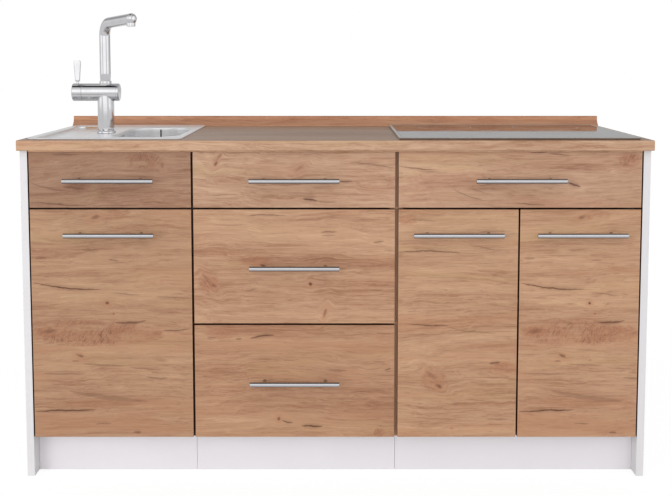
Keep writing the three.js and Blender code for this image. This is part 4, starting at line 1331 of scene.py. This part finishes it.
def lever():
    """A round stem, and a blade: rounded rectangles whose width grows evenly up the blade and
    closes at its top as a quarter circle."""
    stem = rod((LEVER_X, TAP[1], 0), 3, 950.5, 980.5, 0.6, "z", 32)
    crown = 0.9 + 0.1 * np.sin(np.linspace(0.15, 1, 7) * TURN / 4)
    t = np.concatenate([[0, 0.012, 0.03], np.linspace(0.08, 0.9, 10), crown])
    closing = np.maximum(t - 0.88, 0) / 0.12
    width = 12 + 7 * np.minimum(t / 0.88, 1) - 7 * (1 - np.sqrt(np.maximum(1 - closing * closing, 0)))
    thick = 7 - 1.6 * t
    pinch = 1.2 * np.maximum(0, 1 - t / 0.03) + np.where((t == 0) | (t == 1), 0.9, 0)
    half_x = (width / 2 - pinch) * MM
    half_y = (thick / 2 - pinch / 2) * MM
    rings = []
    for a, b, height in zip(half_x, half_y, (978 + 55 * t) * MM):
        outline = ring((LEVER_X - a, LEVER_X + a), (TAP[1] - b, TAP[1] + b), 2.2 * MM, 5)
        rings.append(flat(outline, height))
    return [stem, skin(rings)]


def spout():
    """A tube that rises, turns through the bend's arc and runs out at a slight slope, with its
    end closed as a quarter circle, and a turned aerator under it."""
    foot = SPOUT_TOP - SPOUT_BEND
    rise = np.linspace(SPOUT_FOOT, foot, 12)
    t = np.linspace(0, TURN / 4 - SPOUT_SLOPE, 22)[1:]
    bend = np.column_stack([SPOUT_BEND * (1 - np.cos(t)), foot + SPOUT_BEND * np.sin(t)])
    reach = (SPOUT_REACH - bend[-1, 0]) / math.cos(SPOUT_SLOPE)
    straight = np.linspace(0, reach, 14)[1:]
    ending = np.linspace(0, TURN / 4, 11)
    out = np.concatenate([straight[straight < reach - 0.0115], reach - 0.010 + 0.010 * np.sin(ending)])
    run = bend[-1] + out[:, None] * np.array([math.cos(SPOUT_SLOPE), math.sin(SPOUT_SLOPE)])
    line = np.concatenate([np.column_stack([np.zeros(len(rise)), rise]), bend, run])
    radii = np.full(len(line), SPOUT_RADIUS)
    radii[-11:] = 0.002 + 0.012 * np.cos(ending)
    radii[0] = 0.0134
    path = flat(TAP + line[:, :1] * AHEAD, 0)
    path[:, 2] = line[:, 1]
    tube = swept(path, radii, (-AHEAD[1], AHEAD[0], 0), 56)
    section = [
        (9, 1133), (11, 1133), (11, 1119), (10.8, 1118.4), (10.2, 1118.1),
        (9.2, 1118.1), (9, 1118.8), (9, 1121.5), (0.5, 1121.5),
    ]
    return [tube, turned(section, (*(TAP + WATER_REACH * AHEAD), 0), "z", 48)]


def aerator_grid():
    """Five fine bars, each as long as the round opening is where it lies."""
    x, y = TAP + WATER_REACH * AHEAD
    bars = ((-0.005, 0.0072), (-0.0025, 0.0084), (0, 0.0088), (0.0025, 0.0084), (0.005, 0.0072))
    half = 0.3 * MM
    return [slab((x + a - half, y - b, 1.1205), (x + a + half, y + b, 1.1211), 0.1, 0.1) for a, b in bars]


collar = turned([(15, 965), (15.5, 969), (15.5, 978.4), (15.1, 979.4), (14.2, 980)], TAP_FOOT, "z", 56)
piece("tap_column", tap_column(), chrome, "tap_body")
piece("tap_arm", tap_arm(), chrome)
piece("tap_collar", collar, chrome)
piece("tap_shank", tap_shank(), zinc)
piece("tap_nut", tap_nut(), zinc, sharp=25)
piece("tap_cap_shell", tap_cap(), chrome, "tap_cap", "cap")
piece("tap_lever_blade", lever(), chrome, "tap_lever", "lever", sharp=55)
piece("tap_spout_tube", spout(), chrome, "tap_spout", "spout", sharp=50)
piece("aerator_grid", aerator_grid(), grey_plastic, body="spout")

# ---- Hob ----
HOB_X, HOB_Y = (0.155, 0.745), (-0.2725, 0.2475)
HOB_CORNER = 5
TRAY = ((0.175, -0.2355, 0.7875), (0.725, 0.2275, 0.8405))
LOUVRES_X = (0.394, 0.506)


def hob_trim():
    """A folded trim: the outline, drawn in step by step, at the heights of its rounded section."""
    section = [
        (2.2, 841.05), (0.2, 845.4), (0, 845.9), (0.25, 846.6), (0.9, 847), (6.4, 847),
        (7.4, 846.8), (7.9, 846.3), (8, 845.4), (8, 842.5), (8, 841.05),
    ]
    rings = []
    for inset, height in section:
        by = inset * MM
        radius = max(HOB_CORNER - inset * 0.5, 1) * MM
        outline = ring((HOB_X[0] + by, HOB_X[1] - by), (HOB_Y[0] + by, HOB_Y[1] - by), radius, 8)
        rings.append(flat(outline, height * MM))
    return skin(rings, False, False, round_rows=True)


def hob_tray():
    """The casing under the glass, with louvres pressed out of its back."""
    louvres = [
        slab((x - 0.004, 0.2262, 0.806), (x + 0.004, 0.22775, 0.822), 0.4, 3, "y", 3)
        for x in np.linspace(*LOUVRES_X, 9)
    ]
    return [slab(*TRAY, 2, 3), *louvres]


piece("hob_trim", hob_trim(), frame_steel, "hob_casing", sharp=55)
piece("hob_tray", hob_tray(), casing_steel, "hob_casing")
piece("hob_glass_plate", slab(*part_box("hob_glass"), 0.8, 1.2), black_glass, "hob_glass")

# ---- Inside: boards, runners, drawer boxes, hinges, screws ----
BOX_WALL = 12 * MM
LIP = 3.5
FRONT_RAIL = ((-0.7338, -0.2580, 0.612), (-0.3662, -0.2422, 0.692))
HINGED = (
    ("sink_door", "sink_door_leaf", "left"),
    ("hob_left_door", "hob_left_door_leaf", "left"),
    ("hob_right_door", "hob_right_door_leaf", "right"),
)

for label in CABINETS:
    for board in ("left_side", "right_side", "floor"):
        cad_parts[f"{label}_cabinet_{board}"].material_slots[0].material = cabinet_board
for node in ("drawer_cabinet_back", "hob_cabinet_back"):
    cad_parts[node].material_slots[0].material = back_board
for node in ("sink_cabinet_rail", "hob_cabinet_shelf"):
    piece(node + "_board", slab(*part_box(node), 0.5, 0.5), inner_board, node)

piece("sink_front_rail", slab(*FRONT_RAIL, 0.4, 0.4, "y"), cabinet_board)


def screw(centre, axis, facing, radius=3.4):
    """A pan head, turned, whose crown is a shallow dome with a countersunk middle."""
    section = [(1, 0), (1, 0.5), (0.8, 1.3), (0.45, 1.6), (0.4, 1.0), (0.1 / radius, 0.8)]
    return turned([(share * radius, height * facing) for share, height in section], centre, axis, 20)


def against(node, side):
    """A node's box, the face of it that lies against the board on its side, and which way is
    inward from there."""
    low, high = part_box(node)
    return (low, high, low.x, 1) if side == "left" else (low, high, high.x, -1)


def drawer_box(label):
    """Four walls and a bottom let into them, with their own rounded edges."""
    node, body = label + "_drawer_box", label + "_drawer"
    low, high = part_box(node)
    left, right, front_end = low.x + BOX_WALL, high.x - BOX_WALL, low.y + BOX_WALL
    walls = [slab((x, low.y, low.z), (x + BOX_WALL, high.y, high.z), 1.2, 1.2, "x") for x in (low.x, right)]
    walls += [
        slab((left, y, low.z + MM), (right, y + BOX_WALL, high.z - MM), 1.0, 1.0, "y")
        for y in (low.y, high.y - BOX_WALL)
    ]
    bottom = slab((left, front_end, low.z + MM), (right, high.y - BOX_WALL, low.z + 6 * MM), 0.3, 0.3)
    heads = [
        screw((x, front_end - 0.1 * MM, z), "y", 1)
        for x in (low.x + 0.055, high.x - 0.055) for z in (low.z + 0.02, high.z - 0.02)
    ]
    piece(node + "_walls", walls, inner_board, node, body)
    piece(node + "_bottom", bottom, back_board, body=body)
    piece(node + "_screws", heads, zinc, body=body)


def channel(back, inward, reach, heights, wall, stations):
    """A folded strip carried along Y: a web, two flanges and two lips, all of one thickness."""
    (near, far), (low, high) = reach, heights
    lip = far - wall
    half = np.array([(near, 0), (far, 0), (far, LIP), (lip, LIP), (lip, wall), (near + wall, wall)])
    other = half[::-1]
    u = back + inward * np.concatenate([half[:, 0], other[:, 0]]) * MM
    z = np.concatenate([low + half[:, 1], high - other[:, 1]]) * MM
    return extruded(np.column_stack([z, u]), "y", stations)


def runners(label):
    """Each fixed channel is a folded strip, with a smaller moving rail and balls between them."""
    for side in ("left", "right"):
        node = f"{label}_runner_{side}"
        low, high, back, inward = against(node, side)
        z0, z1 = low.z / MM, high.z / MM
        middle = (low.z + high.z) / 2
        fixed = channel(back, inward, (0, 8.6), (z0, z1), 1.2, (low.y, high.y))
        moving = channel(back, inward, (7.0, 12.4), (z0 + 9, z1 - 9), 1.1, (low.y + 0.004, high.y - 0.004))
        web = back + inward * 1.25 * MM
        heads = [screw((web, y, middle), "x", inward, 3.2) for y in (-0.22, -0.02, 0.17)]
        balls = [
            rod((back + inward * 7.6 * MM, y, z * MM), 2.4, -2.2, 2.2, 0.8, "y", 16)
            for y in (-0.18, -0.08, 0.02, 0.12) for z in (z0 + 5.2, z1 - 5.2)
        ]
        piece(node + "_channel", [fixed, *heads], zinc, node, sharp=30)
        piece(node + "_rail", [moving, *balls], zinc, body=label + "_drawer", sharp=30)


def hinge(node, side):
    """A concealed hinge on the side board: its plate, its arm in two steps, four screws."""
    low, high, back, inward = against(node, side)
    z = (low.z + high.z) / 2

    def block(u, y, half, edge, corner):
        xs = sorted(back + inward * value * MM for value in u)
        return slab((xs[0], y[0], z - half * MM), (xs[1], y[1], z + half * MM), edge, corner, "x", 3)

    plate = block((0, 3.6), (-0.2361, -0.1901), 24, 0.8, 5)
    arm = block((3.4, 12.6), (-0.252, -0.1841), 7.2, 1.6, 3)
    nose = block((5.5, 13), (-0.2581, -0.238), 8.4, 1.4, 2.5)
    fixing = [screw((back + inward * 3.6 * MM, -0.213, z + up * MM), "x", inward, 3.6) for up in (17, -17)]
    setting = [screw((back + inward * 12.4 * MM, y, z), "x", inward, 3.0) for y in (-0.228, -0.198)]
    piece(node + "_arm", [plate, arm, nose, *fixing, *setting], zinc, node)


def hinge_cup(name, node, side, body):
    """The cup that is let into the door, with a flange round it."""
    low, high, back, inward = against(node, side)
    section = [
        (14, -7), (17.2, -7), (17.2, 0.0), (18.4, 0.05),
        (18.4, 0.32), (15.6, 0.32), (15.2, -5.5), (1, -6),
    ]
    centre = (back + inward * 21 * MM, -0.2585, (low.z + high.z) / 2)
    piece(name, turned(section, centre, "y", 40), zinc, body=body)


def shelf_pins():
    """Four pins under the shelf, let into the side boards."""
    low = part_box("hob_cabinet_shelf")[0]
    return [
        rod((x, y, low.z - 2.6 * MM), 2.5, -6.5, 6.5, 0.6, "x", 20)
        for x in (0.1731, 0.7269) for y in (-0.20, 0.20)
    ]


for label in ("top", "middle", "lower"):
    drawer_box(label)
    runners(label)
for door, body, side in HINGED:
    for level in ("lower", "upper"):
        node = f"{door}_hinge_{level}"
        hinge(node, side)
        hinge_cup(f"{door}_cup_{level}", node, side, body)
piece("shelf_pins", shelf_pins(), zinc)
